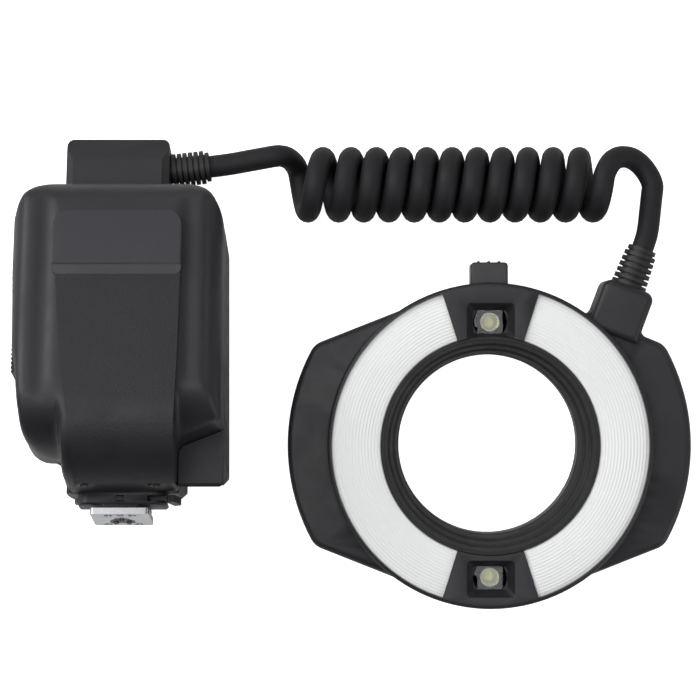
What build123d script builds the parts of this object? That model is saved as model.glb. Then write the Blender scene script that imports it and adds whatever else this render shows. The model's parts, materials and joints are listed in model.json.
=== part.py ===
from build123d import *
import math
import os

# Macro ring flash, laid flat on a table: a ring-shaped flash head that clips to a lens, a control unit
# that slides into an accessory shoe, and the curly cord between them. Millimetres. The origin is the
# head's optical axis on the plane of its back, which is also the table. +X runs from the control unit
# to the head, +Y towards the plug box at the unit's top, and +Z up, out of the head's front.

# General clearances and walls
wall = 2.0
air = 0.3
fit = 0.05
running = 0.08
overrun = 2.0

# Lens opening, its rear mount ring and the stepped front sleeve
opening_radius = 29.4
collar_wall = 1.2
collar_height = 8.5
mount_ring_wall = 1.2
adapter_groove_width = 3.7
adapter_groove_radius = opening_radius + collar_wall + adapter_groove_width
adapter_groove_depth = 3.9
mount_ring_flange = 8.0
mount_ring_radius = adapter_groove_radius + mount_ring_wall + mount_ring_flange
claw_reach = 1.0
claw_thick = 1.0
claw_set_back = 0.5
claw_angle = 26.0
claw_places = (30.0, 150.0)
sleeve_step_back = 0.2
sleeve_start_radius = opening_radius + sleeve_step_back
sleeve_flare = 5.0
sleeve_front_radius = sleeve_start_radius + sleeve_flare
sleeve_lip = 0.7
sleeve_wall = 1.3
sleeve_steps = 3
sleeve_step_width = 0.5
sleeve_lip_drop = 0.8

# Windows, reflectors and tubes
window_width = 16.1
window_inner_radius = sleeve_front_radius + sleeve_lip
window_outer_radius = window_inner_radius + window_width
bridge_half_angle = 17.5
diffuser_front_drop = 1.3
diffuser_crown = 0.7
diffuser_thick = 1.5
diffuser_skirt = 2.6
reflector_wall = 0.6
reflector_depth = 11.0
reflector_slope = 1.6
reflector_side_gap = 0.6
reflector_bend = 4.0
tube_radius = 1.7
tube_height = 16.5
tube_end_angle = 22.0
holder_length = 5.5
holder_width = 6.6
holder_rise = 2.1

# Flash head: outline and heights above the table
rim_width = 1.2
rim_radius = window_outer_radius + rim_width
wing_reach = 13.0
wing_radius = rim_radius + wing_reach
wing_line_inset = 1.2
wing_line = rim_radius - wing_line_inset
wing_angle = 21.6
wing_flat_inset = 2.6
wing_flat = rim_radius - wing_flat_inset
wing_corner = 6.5
head_back = 3.0
head_parting = 12.8
wing_front = 18.5
head_front = 25.4
rim_round = 1.4
wing_round = 2.2
back_round = 1.6

# Focus lamps in the two bridges
lamp_top_inset = 4.7
lamp_top_y = window_inner_radius + lamp_top_inset
lamp_bottom_inset = 7.5
lamp_bottom_y = window_inner_radius + lamp_bottom_inset
lamp_radius = 5.5
lamp_flat = 7.4
lamp_window_thick = 1.4
lamp_flange = 1.2
lamp_flange_thick = 0.8
funnel_width = 15.5
funnel_height = 12.0
funnel_depth = 4.2
bridge_thick = 6.4
cup_depth = 6.6
cup_wall = 0.7
led_side = 5.0
led_die = 1.4
led_die_rise = 1.2

# Latch of the lens adapter, with its push button on top of the head
latch_travel = 2.0
latch_plate_gap = 0.7
latch_plate_radius = adapter_groove_radius + mount_ring_wall + latch_plate_gap
latch_plate_width = 2.0
latch_plate_thick = 1.2
latch_toe_width = 8.0
latch_stem_width = 7.0
button_width = 12.0
button_proud = 6.8
button_top = rim_radius + button_proud
button_sunk = 3.0
button_inner = rim_radius - button_sunk
button_thick = 12.6
button_round = 1.2
button_rib = 0.5
button_rib_width = 0.6
button_rib_pitch = 3.35
stem_tip_length = 1.8
spring_radius = 1.6
spring_wire = 0.5
spring_length = 6.0
spring_place = 6.8

# Trigger board and coils
board_thick = 1.4
board_inner_gap = 1.0
board_inner_radius = adapter_groove_radius + mount_ring_wall + board_inner_gap
board_width = 8.5
board_outer_radius = board_inner_radius + board_width
board_height = 7.3
board_post_radius = 1.5
board_post_inset = 2.4
board_post_circle = board_outer_radius - board_post_inset
board_post_angles = (20.0, 70.0, 160.0, 200.0, 250.0, 290.0, 340.0, 110.0)
trigger_coil_radius = 3.4
trigger_coil_length = 12.0
trigger_coil_reach = 4.9
trigger_coil_place = rim_radius + trigger_coil_reach
coil_flange = 0.8

# Screws of the head
head_screw_reach = 4.4
head_screw_x = rim_radius + head_screw_reach
head_screw_y = 19.5
screw_shank_radius = 0.95
screw_head_radius = 1.8
screw_head_depth = 1.3
screw_slot = 0.5
head_screw_length = 8.5
head_post_radius = 2.3

# Cable boss and ribbed boot of the head
boss_reach = 16.262
boss_place_angle = 48.532
boss_x = (rim_radius + boss_reach) * math.cos(math.radians(boss_place_angle))
boss_y = (rim_radius + boss_reach) * math.sin(math.radians(boss_place_angle))
boss_angle = 20.5
boss_width = 17.0
boss_length = 17.0
boss_corner = 3.0
boss_blend = 2.4
boss_front = 21.6
boot_length = 13.2
boot_core_radius = 4.1
boot_rib_radius = 5.25
boot_rib_growth = 0.6
boot_ribs = 6
boot_rib_width = 1.25
boot_base_radius = 5.9
boot_base_length = 3.0

# Battery box and cells, and the capacitor and transformer stacked with them
cell_radius = 7.1
cell_length = 49.0
cell_nub_radius = 2.7
cell_nub = 1.2
cell_pitch = 15.0
cell_depth_place = 10.2
cell_bore_gap = 0.15
box_wall = 0.8
box_half = cell_pitch / 2 + cell_radius + cell_bore_gap + box_wall
contact_thick = 0.4
capacitor_radius = 11.0
capacitor_length = 46.0
capacitor_depth_place = 13.5
capacitor_low_gap = 0.4
capacitor_cap = 2.0
saddle_width = 6.0
saddle_height = 5.0
transformer_width = 16.0
transformer_depth = 12.0
transformer_height = 13.0
transformer_flange = 1.4
transformer_room = 4.2

# Control unit: its place, its lie on its sloping back, and its outline
unit_x = -117.2
unit_y = -22.8
unit_lie = 15.5
unit_back = 39.0
unit_front = 36.0
unit_parting = 6.0
unit_bottom = 7.2
unit_left = 34.0
unit_right = 32.1
unit_left_step_in = 1.9
unit_left_step = unit_left - unit_left_step_in
unit_left_low_in = 4.9
unit_left_low = unit_left - unit_left_low_in
unit_shelf_rise = 9.4
unit_shelf_z = unit_bottom + unit_shelf_rise
unit_neck_left = 17.4
unit_neck_right = 18.0
unit_low_rise = 8.4
unit_low_z = unit_shelf_z + unit_low_rise
capacitor_height_place = unit_low_z + capacitor_low_gap + capacitor_radius
cell_height_place = capacitor_height_place + capacitor_radius + fit + saddle_height + box_half
unit_top = cell_height_place + box_half + transformer_height + transformer_room + wall
unit_step_rise = 21.0
unit_step_z = unit_low_z + unit_step_rise
unit_notch_rise = 3.9
unit_notch_z = unit_shelf_z + unit_notch_rise
unit_notch_side_rise = 9.4
unit_notch_side_z = unit_shelf_z + unit_notch_side_rise
unit_block_rise = 2.0
unit_block_z = unit_bottom + unit_block_rise
top_corner = 14.0
low_corner = 8.0
neck_corner = 3.2
neck_back_corner = 0.64
shelf_blend = 5.4
lobe_round = 22.0
lobe_side_y = 28.5
lobe_side_round = 9.0
lobe_side_round_right = 7.0
lobe_crest_left = 31.0
lobe_crest_right = 27.5
lobe_crest_proud = 0.4
lobe_crest_round = 5.5
valley_left = 22.4
valley_right = 21.4
valley_depth = 1.5
valley_round = 3.5
flat_left = 20.2
flat_right = 19.2
flat_round = 1.5
neck_back = 5.0
block_depth = 14.0
block_round = 1.2
front_top_round = 10.0
chin_round = 24.0
back_edge_round = 4.0
back_side_round = 5.0
back_recess = 2.8
back_rim = 2.4

# Front panel and bare name plate
panel_proud = 1.3
panel_top_half = 19.4
panel_mid_left = 17.0
panel_mid_right = 18.7
panel_low_left = 13.6
panel_low_right = 17.7
panel_mid_rise = 24.4
panel_mid_z = unit_shelf_z + panel_mid_rise
panel_low_rise = 1.4
panel_low_z = unit_shelf_z + panel_low_rise
panel_top_drop = 14.8
panel_top_z = unit_top - panel_top_drop
plate_proud = 0.9
plate_left = 20.6
plate_right = 19.6
plate_top_drop = 12.4
plate_top_z = unit_top - plate_top_drop
plate_height = 20.5
plate_bottom_z = plate_top_z - plate_height
plate_corner = 5.0
plate_low_corner = 2.0
plate_bevel = 3.0

# Battery door, its sliding hinge pin, the battery box and the cells
door_half = 15.5
door_front = cell_depth_place + door_half - air
door_back = door_half - cell_depth_place + air
door_low_margin = 3.45
door_bottom_z = cell_height_place - box_half - door_low_margin
door_lip_drop = 7.6
door_lip_z = door_bottom_z - door_lip_drop
door_lip_thick = 1.05
door_high_margin = 10.45
door_axis_z = cell_height_place + box_half + door_high_margin
door_axis_depth = 2.0
door_top_over = 1.0
door_slide = 4.0
door_pin_radius = 0.8
door_pin_over = 1.5
door_knuckle_radius = 1.7
door_knuckle_length = 6.0
grip_drop = 6.0
grip_bottom_z = door_bottom_z - grip_drop
grip_height = 17.0
grip_top_z = grip_bottom_z + grip_height
grip_proud = 0.7
grip_ribs = 12
box_left_gap = 4.0
box_left = unit_left - box_left_gap

# Boards and power parts of the control unit
main_board_height = 8.0
main_board_thick = 1.4
main_board_left_gap = 7.4
main_board_left = unit_left - main_board_left_gap
main_board_right_gap = 6.0
main_board_right = unit_right - main_board_right_gap
main_board_low = 22.0
post_radius = 2.0
post_drop = 10.0

# Rear controls, placed from the unit's reference along the back
display_width = 42.0
display_height = 27.0
display_drop = 30.75
display_place = unit_top - display_drop
display_corner = 2.0
display_module_margin = 1.6
key_row_gap = 9.0
key_row_place = display_place - display_height / 2 - key_row_gap
key_pitch = 11.5
key_count = 4
key_width = 7.6
key_height = 4.6
key_corner = 1.2
key_face = 1.0
key_flange = 0.9
key_flange_thick = 0.8
key_travel = 0.5
key_stem_gap = 0.4
key_stem_end = main_board_height - key_travel - key_stem_gap
dial_drop = 19.0
dial_place = key_row_place - dial_drop
dial_radius = 12.5
dial_face = 0.7
dial_thick = 1.7
dial_bore = 6.5
dial_collar_radius = 8.2
dial_clip_radius = 9.4
dial_clip_thick = 0.8
dial_collar_end = 6.3
dial_knurls = 36
dial_knurl_radius = 0.45
set_button_radius = 6.1
set_button_face = 0.9
set_flange_radius = 7.6
set_travel = 0.4
set_flange_thick = main_board_height - dial_collar_end - air - set_travel - air
switch_place_x = 20.0
switch_drop = 0.5
switch_place = dial_place - switch_drop
switch_width = 5.0
switch_height = 8.0
switch_stem = 3.0
switch_travel = 4.0
test_place_x = 22.0
test_drop = 2.5
test_place = dial_place - test_drop
test_radius = 3.2
main_board_rise = 20.0
main_board_high = display_place + main_board_rise

# Power socket and its flap on the side
flap_depth_front = 4.0
flap_axis_depth = 17.0
flap_low_rise = 9.8
flap_low_z = unit_block_z + flap_low_rise
flap_height = 13.0
flap_high_z = flap_low_z + flap_height
socket_place_z = (flap_low_z + flap_high_z) / 2
flap_thick = 2.6
flap_swing = 70.0
socket_radius = 5.6
socket_place_y = 6.5
socket_length = 7.5
socket_flange = 0.8
socket_pocket = 4.2
socket_pin_radius = 0.8
socket_pin_pitch = 2.6

# Plug box and ribbed boot on top of the unit
plug_left = 19.7
plug_right = 13.5
plug_front = 17.0
plug_back = 3.0
plug_height = 20.1
plug_top = unit_top + plug_height
plug_bevel_rise = 12.0
plug_bevel_z = unit_top + plug_bevel_rise
plug_bevel_drop = 1.2
plug_bevel_top_z = plug_top - plug_bevel_drop
plug_bevel_depth = 3.4
plug_corner = 2.3
plug_side_bevel = 2.3
unit_boot_rise = 11.65
unit_boot_height = unit_top + unit_boot_rise
unit_boot_depth = 7.0
unit_boot_tilt = 6.5
unit_boot_length = 12.1
unit_boot_radius = 5.45

# Shoe foot
foot_x = -0.3
foot_width = 18.6
foot_length = 18.0
foot_thick = 2.0
foot_corner = 1.2
neck_width = 12.0
neck_length = 16.4
base_low_z = 3.3
base_slot_low_z = 4.2
base_slot_high_z = 6.2
base_left = 13.9
base_right = 14.5
base_front = 8.2
base_wide_back = 1.0
base_back = 9.5
base_back_half = 8.8
base_corner = 4.0
base_post_radius = 5.0
lever_ring_radius = 8.0
lever_thick = 1.4
lever_arm_width = 5.0
lever_arm_length = 16.8
lever_rest_angle = -23.0
lever_swing = 50.0
lever_grip_length = 2.7
lever_grip_width = 6.4
lever_grip_low = 0.9
lever_grip_ribs = 3
lock_pin_radius = 1.0
lock_pin_place = 6.3
lock_pin_rest = 0.3
lock_pin_travel = 1.5
release_width = 4.0
release_height = 1.6
release_length = 3.4
release_travel = 0.8
release_place = 3.0
release_proud = 1.0
insulator_half_width = 3.9
insulator_front = 2.3
insulator_back = 5.7
insulator_neck = 1.6
insulator_height = 3.0
contact_radius = 0.75
contact_proud = 0.8
contact_side = 2.05
contact_back = 3.6
contact_top = 1.9
contact_travel = 0.7
foot_screw_front_x = 3.8
foot_screw_back_x = 4.9
foot_screw_front_y = 6.3
foot_screw_back_y = 7.2
foot_screw_radius = 0.8
foot_screw_head = 1.3
foot_screw_head_depth = 0.8
chin_screw_x = 11.2
chin_screw_y = 16.5
rear_screw_y = 3.0
housing_screw_length = 9.0

# Curly cord
wire = 7.2
coil_radius = 8.9
coil_start_x = -59.0
coil_y = 84.9
coil_turns = 11
first_pitch = 10.0
pitch = 8.25
last_pitch = 9.0
table_clear = 0.02

# Route of the cord where it isn't coiled, chosen by hand from the photograph
lead_end_run = 3.4
ring_lead_end_run = 3.6
curls_enter = ((-80.1, 92.3, 13.7), (-73.0, 93.6, 13.8))
arch_points = ((42.4, 93.2, 17.0), (49.9, 90.6, 13.3))
arch_ways = ((0.71, 0.18, -0.47), (0.77, -0.82, -0.22))
curls_leave = ((53.3, 82.1, 13.2), (52.55, 74.7, 13.0))


def block(x0, x1, y0, y1, z0, z1):
    """Box between two corners."""
    middle = Pos((x0 + x1) / 2, (y0 + y1) / 2, (z0 + z1) / 2)
    return middle * Box(x1 - x0, y1 - y0, z1 - z0)


def disc(radius, z0, z1, x=0, y=0):
    """Upright round bar."""
    return Pos(x, y, z0) * extrude(Circle(radius), z1 - z0)


def tube(outer, inner, z0, z1, x=0, y=0):
    """Upright round tube."""
    return disc(outer, z0, z1, x, y) - disc(inner, z0 - overrun, z1 + overrun, x, y)


def rounded(corners, radii):
    """Flat face through the corners, each rounded by its own radius."""
    return make_face(FilletPolyline(*corners, radius=radii, close=True).edges())


def turn(profile, start, sweep):
    """Ring sector: a profile in radius and height, turned about the optical axis."""
    return Rot(0, 0, start) * revolve(Plane.XZ * profile, Axis.Z, sweep)


def polar(radius, angle):
    """Point at a radius and an angle in degrees."""
    return radius * math.cos(math.radians(angle)), radius * math.sin(math.radians(angle))


# Flash head

sleeve_top = head_front - sleeve_lip_drop
boss_plane = Plane(
    origin=(boss_x, boss_y, 0),
    x_dir=(math.cos(math.radians(boss_angle)), -math.sin(math.radians(boss_angle)), 0),
    z_dir=(0, 0, 1),
)


def boss_outline(inset):
    """Rounded square of the cable boss, square to the cord's way out."""
    half = boss_width / 2 - inset
    top = -inset
    corners = ((-half, -boss_length), (half, -boss_length), (half, top), (-half, top))
    corner = max(boss_corner - inset, fit)
    return boss_plane * rounded(corners, (0, 0, corner, corner))


def head_outline(inset):
    """Outline of the head from the front: round rim, two side wings and the cable boss."""
    line = wing_line - inset
    slope = math.radians(wing_angle)
    tip = line / math.cos(slope)
    side = line / math.sin(slope)
    diamond = make_face(Polyline((side, 0), (0, tip), (-side, 0), (0, -tip), close=True).edges())
    band = Rectangle(2 * wing_radius, 2 * (wing_flat - inset))
    wings = Circle(wing_radius - inset) & diamond & band
    tips = [v for v in wings.vertices() if abs(v.X) > rim_radius / 2]
    wings = fillet(tips, wing_corner - inset)
    outline = wings + Circle(rim_radius - inset) + boss_outline(inset)
    half = boss_width / 2 - inset
    blends = []
    for corner in outline.vertices():
        place = boss_plane.to_local_coords(Vector(corner))
        if abs(abs(place.X) - half) < fit and -boss_length < place.Y < -boss_corner - fit:
            blends.append(corner)
    return fillet(blends, boss_blend + inset) if blends else outline


def head_posts(z0, z1, radius):
    """Bars on the four screw places of the head."""
    places = [(sx * head_screw_x, sy * head_screw_y) for sx in (1, -1) for sy in (1, -1)]
    return [disc(radius, z0, z1, x, y) for x, y in places]


def button_slot():
    """Room for the release button and its travel in the head's top wall."""
    half = button_width / 2 + air
    low = button_low() - air
    return block(-half, half, button_inner - latch_travel - air, rim_radius + overrun, low,
                 low + button_thick + 2 * air)


def button_low():
    """Lower face of the release button, level with the latch plate."""
    return latch_low()


def latch_low():
    """Lower face of the latch plate, just above the cup of the mount ring."""
    return max(head_back + wall, adapter_groove_depth + mount_ring_wall) + air + fit


def boot_hole(radius, depth):
    """Round bar from the face of the boss inwards, along the cord's way out."""
    way = boss_plane.y_dir
    start = boss_plane.origin + Vector(0, 0, head_parting) + way * overrun
    face = Plane(origin=start, z_dir=-way)
    return extrude(face * Circle(radius), depth + overrun)


def boot_seat():
    """Stepped room in the boss for the boot's neck and its base flange."""
    neck = boot_hole(boot_core_radius + fit, boot_base_length)
    way = boss_plane.y_dir
    start = boss_plane.origin + Vector(0, 0, head_parting) - way * (wall - fit)
    flange = extrude(Plane(origin=start, z_dir=-way) * Circle(boot_base_radius + fit), boot_base_length + fit)
    return neck + flange


def ring_rear_housing():
    shell = extrude(Pos(0, 0, head_back) * head_outline(0), head_parting - head_back)
    low = shell.faces().sort_by(Axis.Z)[0]
    shell = fillet(low.outer_wire().edges(), back_round)
    floor = head_back + wall
    shell -= extrude(Pos(0, 0, floor) * head_outline(wall), head_parting)
    for angle in board_post_angles:
        x, y = polar(board_post_circle, angle)
        shell += disc(board_post_radius, floor - fit, board_height, x, y)
    cup = adapter_groove_radius + mount_ring_wall + fit
    shell -= disc(cup, 0, floor + overrun)
    toe = latch_toe_width / 2 + air
    reach = latch_plate_radius + latch_plate_width + latch_travel + air
    shell -= block(-toe, toe, -reach, 0, 0, floor + fit)
    for post in head_posts(floor - fit, head_parting, head_post_radius + fit + wall / 2):
        shell += post
    for post in head_posts(floor, head_parting + overrun, head_post_radius + fit):
        shell -= post
    for shank in head_posts(0, floor + overrun, screw_shank_radius + fit):
        shell -= shank
    for head in head_posts(0, head_back + screw_head_depth, screw_head_radius + fit):
        shell -= head
    shell -= button_slot()
    shell -= boot_seat()
    return shell


def window_sector(start, inner, outer, z0, z1, trim):
    """Room of one window: a ring sector between the two bridges."""
    profile = rounded(((inner, z0), (outer, z0), (outer, z1), (inner, z1)), (0, 0, 0, 0))
    sweep = 180 - 2 * bridge_half_angle - 2 * trim
    return turn(profile, start + bridge_half_angle + trim, sweep)


def lamp_face(grow):
    """Round lamp window with a flat top and bottom."""
    return Circle(lamp_radius + grow) & Rectangle(2 * (lamp_radius + grow), lamp_flat + 2 * grow)


def lamp_places():
    """Centres of the two focus lamps."""
    return ((0, lamp_top_y), (0, -lamp_bottom_y))


def lamp_seat_z():
    """Height of the lamp windows' lower face."""
    return head_front - bridge_thick


def ring_front_bezel():
    body = extrude(Pos(0, 0, head_parting) * head_outline(0), wing_front - head_parting)
    top = body.faces().sort_by(Axis.Z)[-1]
    body = fillet(top.outer_wire().edges(), wing_round)
    boss = extrude(Pos(0, 0, head_parting) * boss_outline(0), boss_front - head_parting)
    boss = fillet(boss.faces().sort_by(Axis.Z)[-1].outer_wire().edges(), wing_round)
    rim = disc(rim_radius, head_parting, head_front)
    rim = fillet(rim.faces().sort_by(Axis.Z)[-1].edges(), rim_round)
    body = body + boss + rim
    low = head_parting - overrun
    body -= extrude(Pos(0, 0, low) * head_outline(wall), wing_front - wall - low)
    body -= disc(rim_radius - wall, low, lamp_seat_z())
    body -= disc(window_inner_radius + fit, low, head_front + overrun)
    for start in (-90, 90):
        body -= window_sector(start, 0, rim_radius - wall, low, head_front - wall, 0)
        body -= window_sector(start, 0, window_outer_radius, low, head_front + overrun, 0)
    for x, y in lamp_places():
        seat = Pos(x, y, lamp_seat_z() - overrun)
        body -= seat * extrude(lamp_face(fit), bridge_thick + overrun)
        mouth = Pos(x, y, head_front) * RectangleRounded(funnel_width, funnel_height, rim_round)
        throat_wide = 2 * (lamp_radius + fit)
        throat_high = lamp_flat + 2 * fit
        throat = Pos(x, y, head_front - funnel_depth) * RectangleRounded(throat_wide, throat_high, rim_round)
        body -= loft([throat.face(), mouth.face()])
    for post in head_posts(head_back + wall, wing_front - wall + fit, head_post_radius):
        body += post
    for shank in head_posts(0, head_back + screw_head_depth + head_screw_length, screw_shank_radius):
        body -= shank
    body -= button_slot()
    body -= boot_seat()
    return body


def mount_ring():
    """Rear ring with the opening's inner wall, the adapter groove and two fixed claws."""
    collar = opening_radius + collar_wall
    groove = adapter_groove_radius
    cup = groove + mount_ring_wall
    floor = adapter_groove_depth
    corners = ((opening_radius, 0), (collar, 0), (collar, floor), (groove, floor), (groove, 0),
               (mount_ring_radius, 0), (mount_ring_radius, head_back), (cup, head_back),
               (cup, floor + mount_ring_wall), (collar, floor + mount_ring_wall),
               (collar, collar_height), (opening_radius, collar_height))
    ring = turn(rounded(corners, [0] * len(corners)), 0, 360)
    for angle in claw_places:
        low = claw_set_back
        outer = groove + mount_ring_wall / 2
        inner = groove - claw_reach
        claw = rounded(((inner, low), (outer, low), (outer, low + claw_thick), (inner, low + claw_thick)),
                       (0, 0, 0, 0))
        ring += turn(claw, angle - claw_angle / 2, claw_angle)
    toe = latch_toe_width / 2 + air
    reach = latch_plate_radius + latch_plate_width + latch_travel + air
    return ring - block(-toe, toe, -reach, -(groove - claw_reach + air), -overrun, head_back + overrun)


def opening_sleeve():
    """Stepped funnel from the mount ring's collar to the front."""
    steps = sleeve_steps
    low = collar_height
    rise = (sleeve_top - low) / steps
    growth = (sleeve_front_radius - sleeve_start_radius - steps * sleeve_step_width) / steps
    radius = sleeve_start_radius
    inner = [(radius, low)]
    for step in range(steps):
        radius += growth
        inner.append((radius, low + (step + 1) * rise))
        radius += sleeve_step_width
        if step < steps - 1:
            inner.append((radius, low + (step + 1) * rise))
    outer = [(window_inner_radius, sleeve_top), (window_inner_radius, sleeve_top - diffuser_skirt),
             (sleeve_start_radius + sleeve_wall, low)]
    corners = inner + outer
    return turn(rounded(corners, [0] * len(corners)), 0, 360)


def diffuser(start):
    """Crowned opal window with a skirt round its edge."""
    inner = window_inner_radius + 2 * fit
    outer = window_outer_radius - fit
    side = head_front - diffuser_front_drop
    middle = (inner + outer) / 2
    crown = side + diffuser_crown
    skirt = side - diffuser_skirt
    under = side - diffuser_thick
    edges = [
        Line((inner, skirt), (inner, side)),
        ThreePointArc((inner, side), (middle, crown), (outer, side)),
        Line((outer, side), (outer, skirt)),
        Line((outer, skirt), (outer - diffuser_thick, skirt)),
        Line((outer - diffuser_thick, skirt), (outer - diffuser_thick, under)),
        ThreePointArc((outer - diffuser_thick, under), (middle, crown - diffuser_thick),
                      (inner + diffuser_thick, under)),
        Line((inner + diffuser_thick, under), (inner + diffuser_thick, skirt)),
        Line((inner + diffuser_thick, skirt), (inner, skirt)),
    ]
    trim = math.degrees(fit / inner)
    sweep = 180 - 2 * bridge_half_angle - 2 * trim
    return turn(make_face(edges), start + bridge_half_angle + trim, sweep)


def trough_face(inset, over):
    """Section of the reflector trough, open at its front."""
    inner = window_inner_radius + reflector_side_gap + inset
    outer = window_outer_radius - reflector_side_gap - inset
    top = head_front - diffuser_front_drop - diffuser_skirt
    low = top - reflector_depth + inset
    corners = ((inner, top + over), (inner + reflector_slope, low), (outer - reflector_slope, low),
               (outer, top + over))
    bend = reflector_bend - inset
    return rounded(corners, (0, bend, bend, 0))


def reflector(start):
    """Bright curved trough behind one window."""
    section = trough_face(0, 0) - trough_face(reflector_wall, overrun)
    trim = tube_end_angle - bridge_half_angle
    sweep = 180 - 2 * tube_end_angle
    return turn(section, start + bridge_half_angle + trim, sweep)


def tube_circle():
    """Radius of the circle that the flash tubes follow."""
    return (window_inner_radius + window_outer_radius) / 2


def flash_tube(start):
    """Half ring of glass tube, its ends meeting the rubber holders."""
    bend = Pos(tube_circle(), tube_height) * Circle(tube_radius)
    return turn(bend, start + tube_end_angle, 180 - 2 * tube_end_angle)


def tube_holders():
    """Four rubber holders that stand on the trigger board at the tubes' ends."""
    base = board_height + board_thick
    high = tube_height + holder_rise
    group = None
    for start in (-90, 90):
        for side in (-1, 1):
            angle = start + 90 - side * (90 - tube_end_angle)
            holder = block(tube_circle() - holder_width / 2, tube_circle() + holder_width / 2,
                           min(0, -side * holder_length), max(0, -side * holder_length), base, high)
            holder = Rot(0, 0, angle) * holder
            group = holder if group is None else group + holder
    return group


def lamp_windows():
    pair = None
    for x, y in lamp_places():
        window = extrude(lamp_face(0), lamp_window_thick)
        flange = Pos(0, 0, -lamp_flange_thick) * extrude(lamp_face(lamp_flange), lamp_flange_thick)
        piece = Pos(x, y, lamp_seat_z()) * (window + flange)
        pair = piece if pair is None else pair + piece
    return pair


def lamp_reflectors():
    """Two bright cups under the lamp windows."""
    pair = None
    top = lamp_seat_z() - lamp_flange_thick
    for x, y in lamp_places():
        outer = Pos(x, y, top - cup_depth) * extrude(lamp_face(0), cup_depth)
        mouth = Pos(x, y, top + fit) * Circle(lamp_flat / 2 - cup_wall)
        throat = Pos(x, y, top - cup_depth - fit) * Circle(led_die)
        piece = outer - loft([throat.face(), mouth.face()])
        pair = piece if pair is None else pair + piece
    return pair


def lamp_leds():
    """Two lamp dies on small square blocks that stand on the trigger board."""
    pair = None
    base = board_height + board_thick
    seat = lamp_seat_z() - lamp_flange_thick - cup_depth
    for x, y in lamp_places():
        foot = block(x - led_side / 2, x + led_side / 2, y - led_side / 2, y + led_side / 2, base, seat)
        die = disc(led_die / 2, seat - fit, seat + led_die_rise, x, y)
        piece = foot + die
        pair = piece if pair is None else pair + piece
    return pair


def latch_plate():
    """Sliding ring with the toe that holds the adapter and the stem that carries the button."""
    low = latch_low()
    high = low + latch_plate_thick
    outer = latch_plate_radius + latch_plate_width
    plate = tube(outer, latch_plate_radius, low, high)
    toe = latch_toe_width / 2
    inner = adapter_groove_radius - claw_reach
    plate += block(-toe, toe, -outer, -latch_plate_radius, claw_set_back, high)
    plate += block(-toe, toe, -outer, -inner, claw_set_back, claw_set_back + claw_thick)
    stem = latch_stem_width / 2
    plate += block(-stem, stem, outer - wall, button_inner, low, high)
    lug = block(-spring_place - spring_radius, -stem + fit, button_inner - stem_tip_length, button_inner, low,
                low + 2 * spring_radius)
    return plate + lug


def latch_spring():
    """Compression spring under the lug: a thin sleeve of its outer size."""
    top = button_inner - stem_tip_length
    axis = Plane(origin=(-spring_place, top, latch_low() + spring_radius), z_dir=(0, -1, 0))
    ring = Circle(spring_radius) - Circle(spring_radius - spring_wire)
    return extrude(axis * ring, spring_length)


def release_button():
    """Push button on top of the head, with three grip ribs."""
    half = button_width / 2
    low = button_low()
    body = block(-half, half, button_inner, button_top, low, low + button_thick)
    body = fillet(body.edges().filter_by(Axis.Z).group_by(Axis.Y)[-1], button_round)
    body = fillet(body.faces().sort_by(Axis.Z)[-1].edges().group_by(Axis.Y)[1:], button_round / 2)
    for step in (-1, 0, 1):
        x = step * button_rib_pitch
        body += block(x - button_rib_width / 2, x + button_rib_width / 2, button_top - wall,
                      button_top + button_rib, low + wall, low + button_thick - wall)
    return body


def trigger_board():
    """Ring-shaped board with a notch for the latch spring and its travel."""
    board = tube(board_outer_radius, board_inner_radius, board_height, board_height + board_thick)
    half = spring_radius + air
    low = button_inner - stem_tip_length - spring_length - latch_travel - air
    return board - block(-spring_place - half, -spring_place + half, low, board_outer_radius,
                         board_height - air, board_height + board_thick + air)


def trigger_coils():
    """Two small trigger coils on the floor of the wings."""
    floor = head_back + wall
    pair = None
    for side in (-1, 1):
        x = side * trigger_coil_place
        axis = Plane(origin=(x, -trigger_coil_length / 2, floor + trigger_coil_radius), z_dir=(0, 1, 0))
        coil = extrude(axis * Circle(trigger_coil_radius - coil_flange), trigger_coil_length)
        end = extrude(axis * Circle(trigger_coil_radius), coil_flange)
        coil = coil + end + Pos(0, trigger_coil_length - coil_flange, 0) * end
        pair = coil if pair is None else pair + coil
    return pair


def screw(head_radius, head_depth, shank_radius, length):
    """Screw with its head's top at zero, pointing up."""
    body = disc(head_radius, 0, head_depth) + disc(shank_radius, 0, head_depth + length)
    slot = block(-head_radius, head_radius, -screw_slot / 2, screw_slot / 2, -overrun, head_depth / 2)
    cross = block(-screw_slot / 2, screw_slot / 2, -head_radius, head_radius, -overrun, head_depth / 2)
    return body - slot - cross


def ring_screws():
    group = None
    shape = screw(screw_head_radius, screw_head_depth - fit, screw_shank_radius - fit, head_screw_length)
    for sx in (1, -1):
        for sy in (1, -1):
            piece = Pos(sx * head_screw_x, sy * head_screw_y, head_back + fit) * shape
            group = piece if group is None else group + piece
    return group


def ribbed_boot(length, core, rib, growth, base_radius, base_length, neck_length):
    """Ribbed strain relief along Z: flange and neck below zero, ribs above it."""
    body = disc(core, -neck_length, length)
    body += disc(base_radius, -neck_length - base_length, -neck_length)
    pitch_length = (length - boot_rib_width) / boot_ribs
    for step in range(boot_ribs):
        z = step * pitch_length + fit
        share = 1 - step / (boot_ribs - 1)
        body += disc(rib + growth * share, z, z + boot_rib_width)
    end = boot_ribs * pitch_length
    return body + disc(core + (rib - core) / 2, end, length)


def ring_cable_boot():
    face = Plane(origin=boss_plane.origin + Vector(0, 0, head_parting), z_dir=boss_plane.y_dir)
    boot = ribbed_boot(boot_length, boot_core_radius, boot_rib_radius, boot_rib_growth, boot_base_radius,
                       boot_base_length, wall)
    return face.location * boot


# Control unit, in its own frame: x to the right, y towards its back, z up from the foot plate

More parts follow.
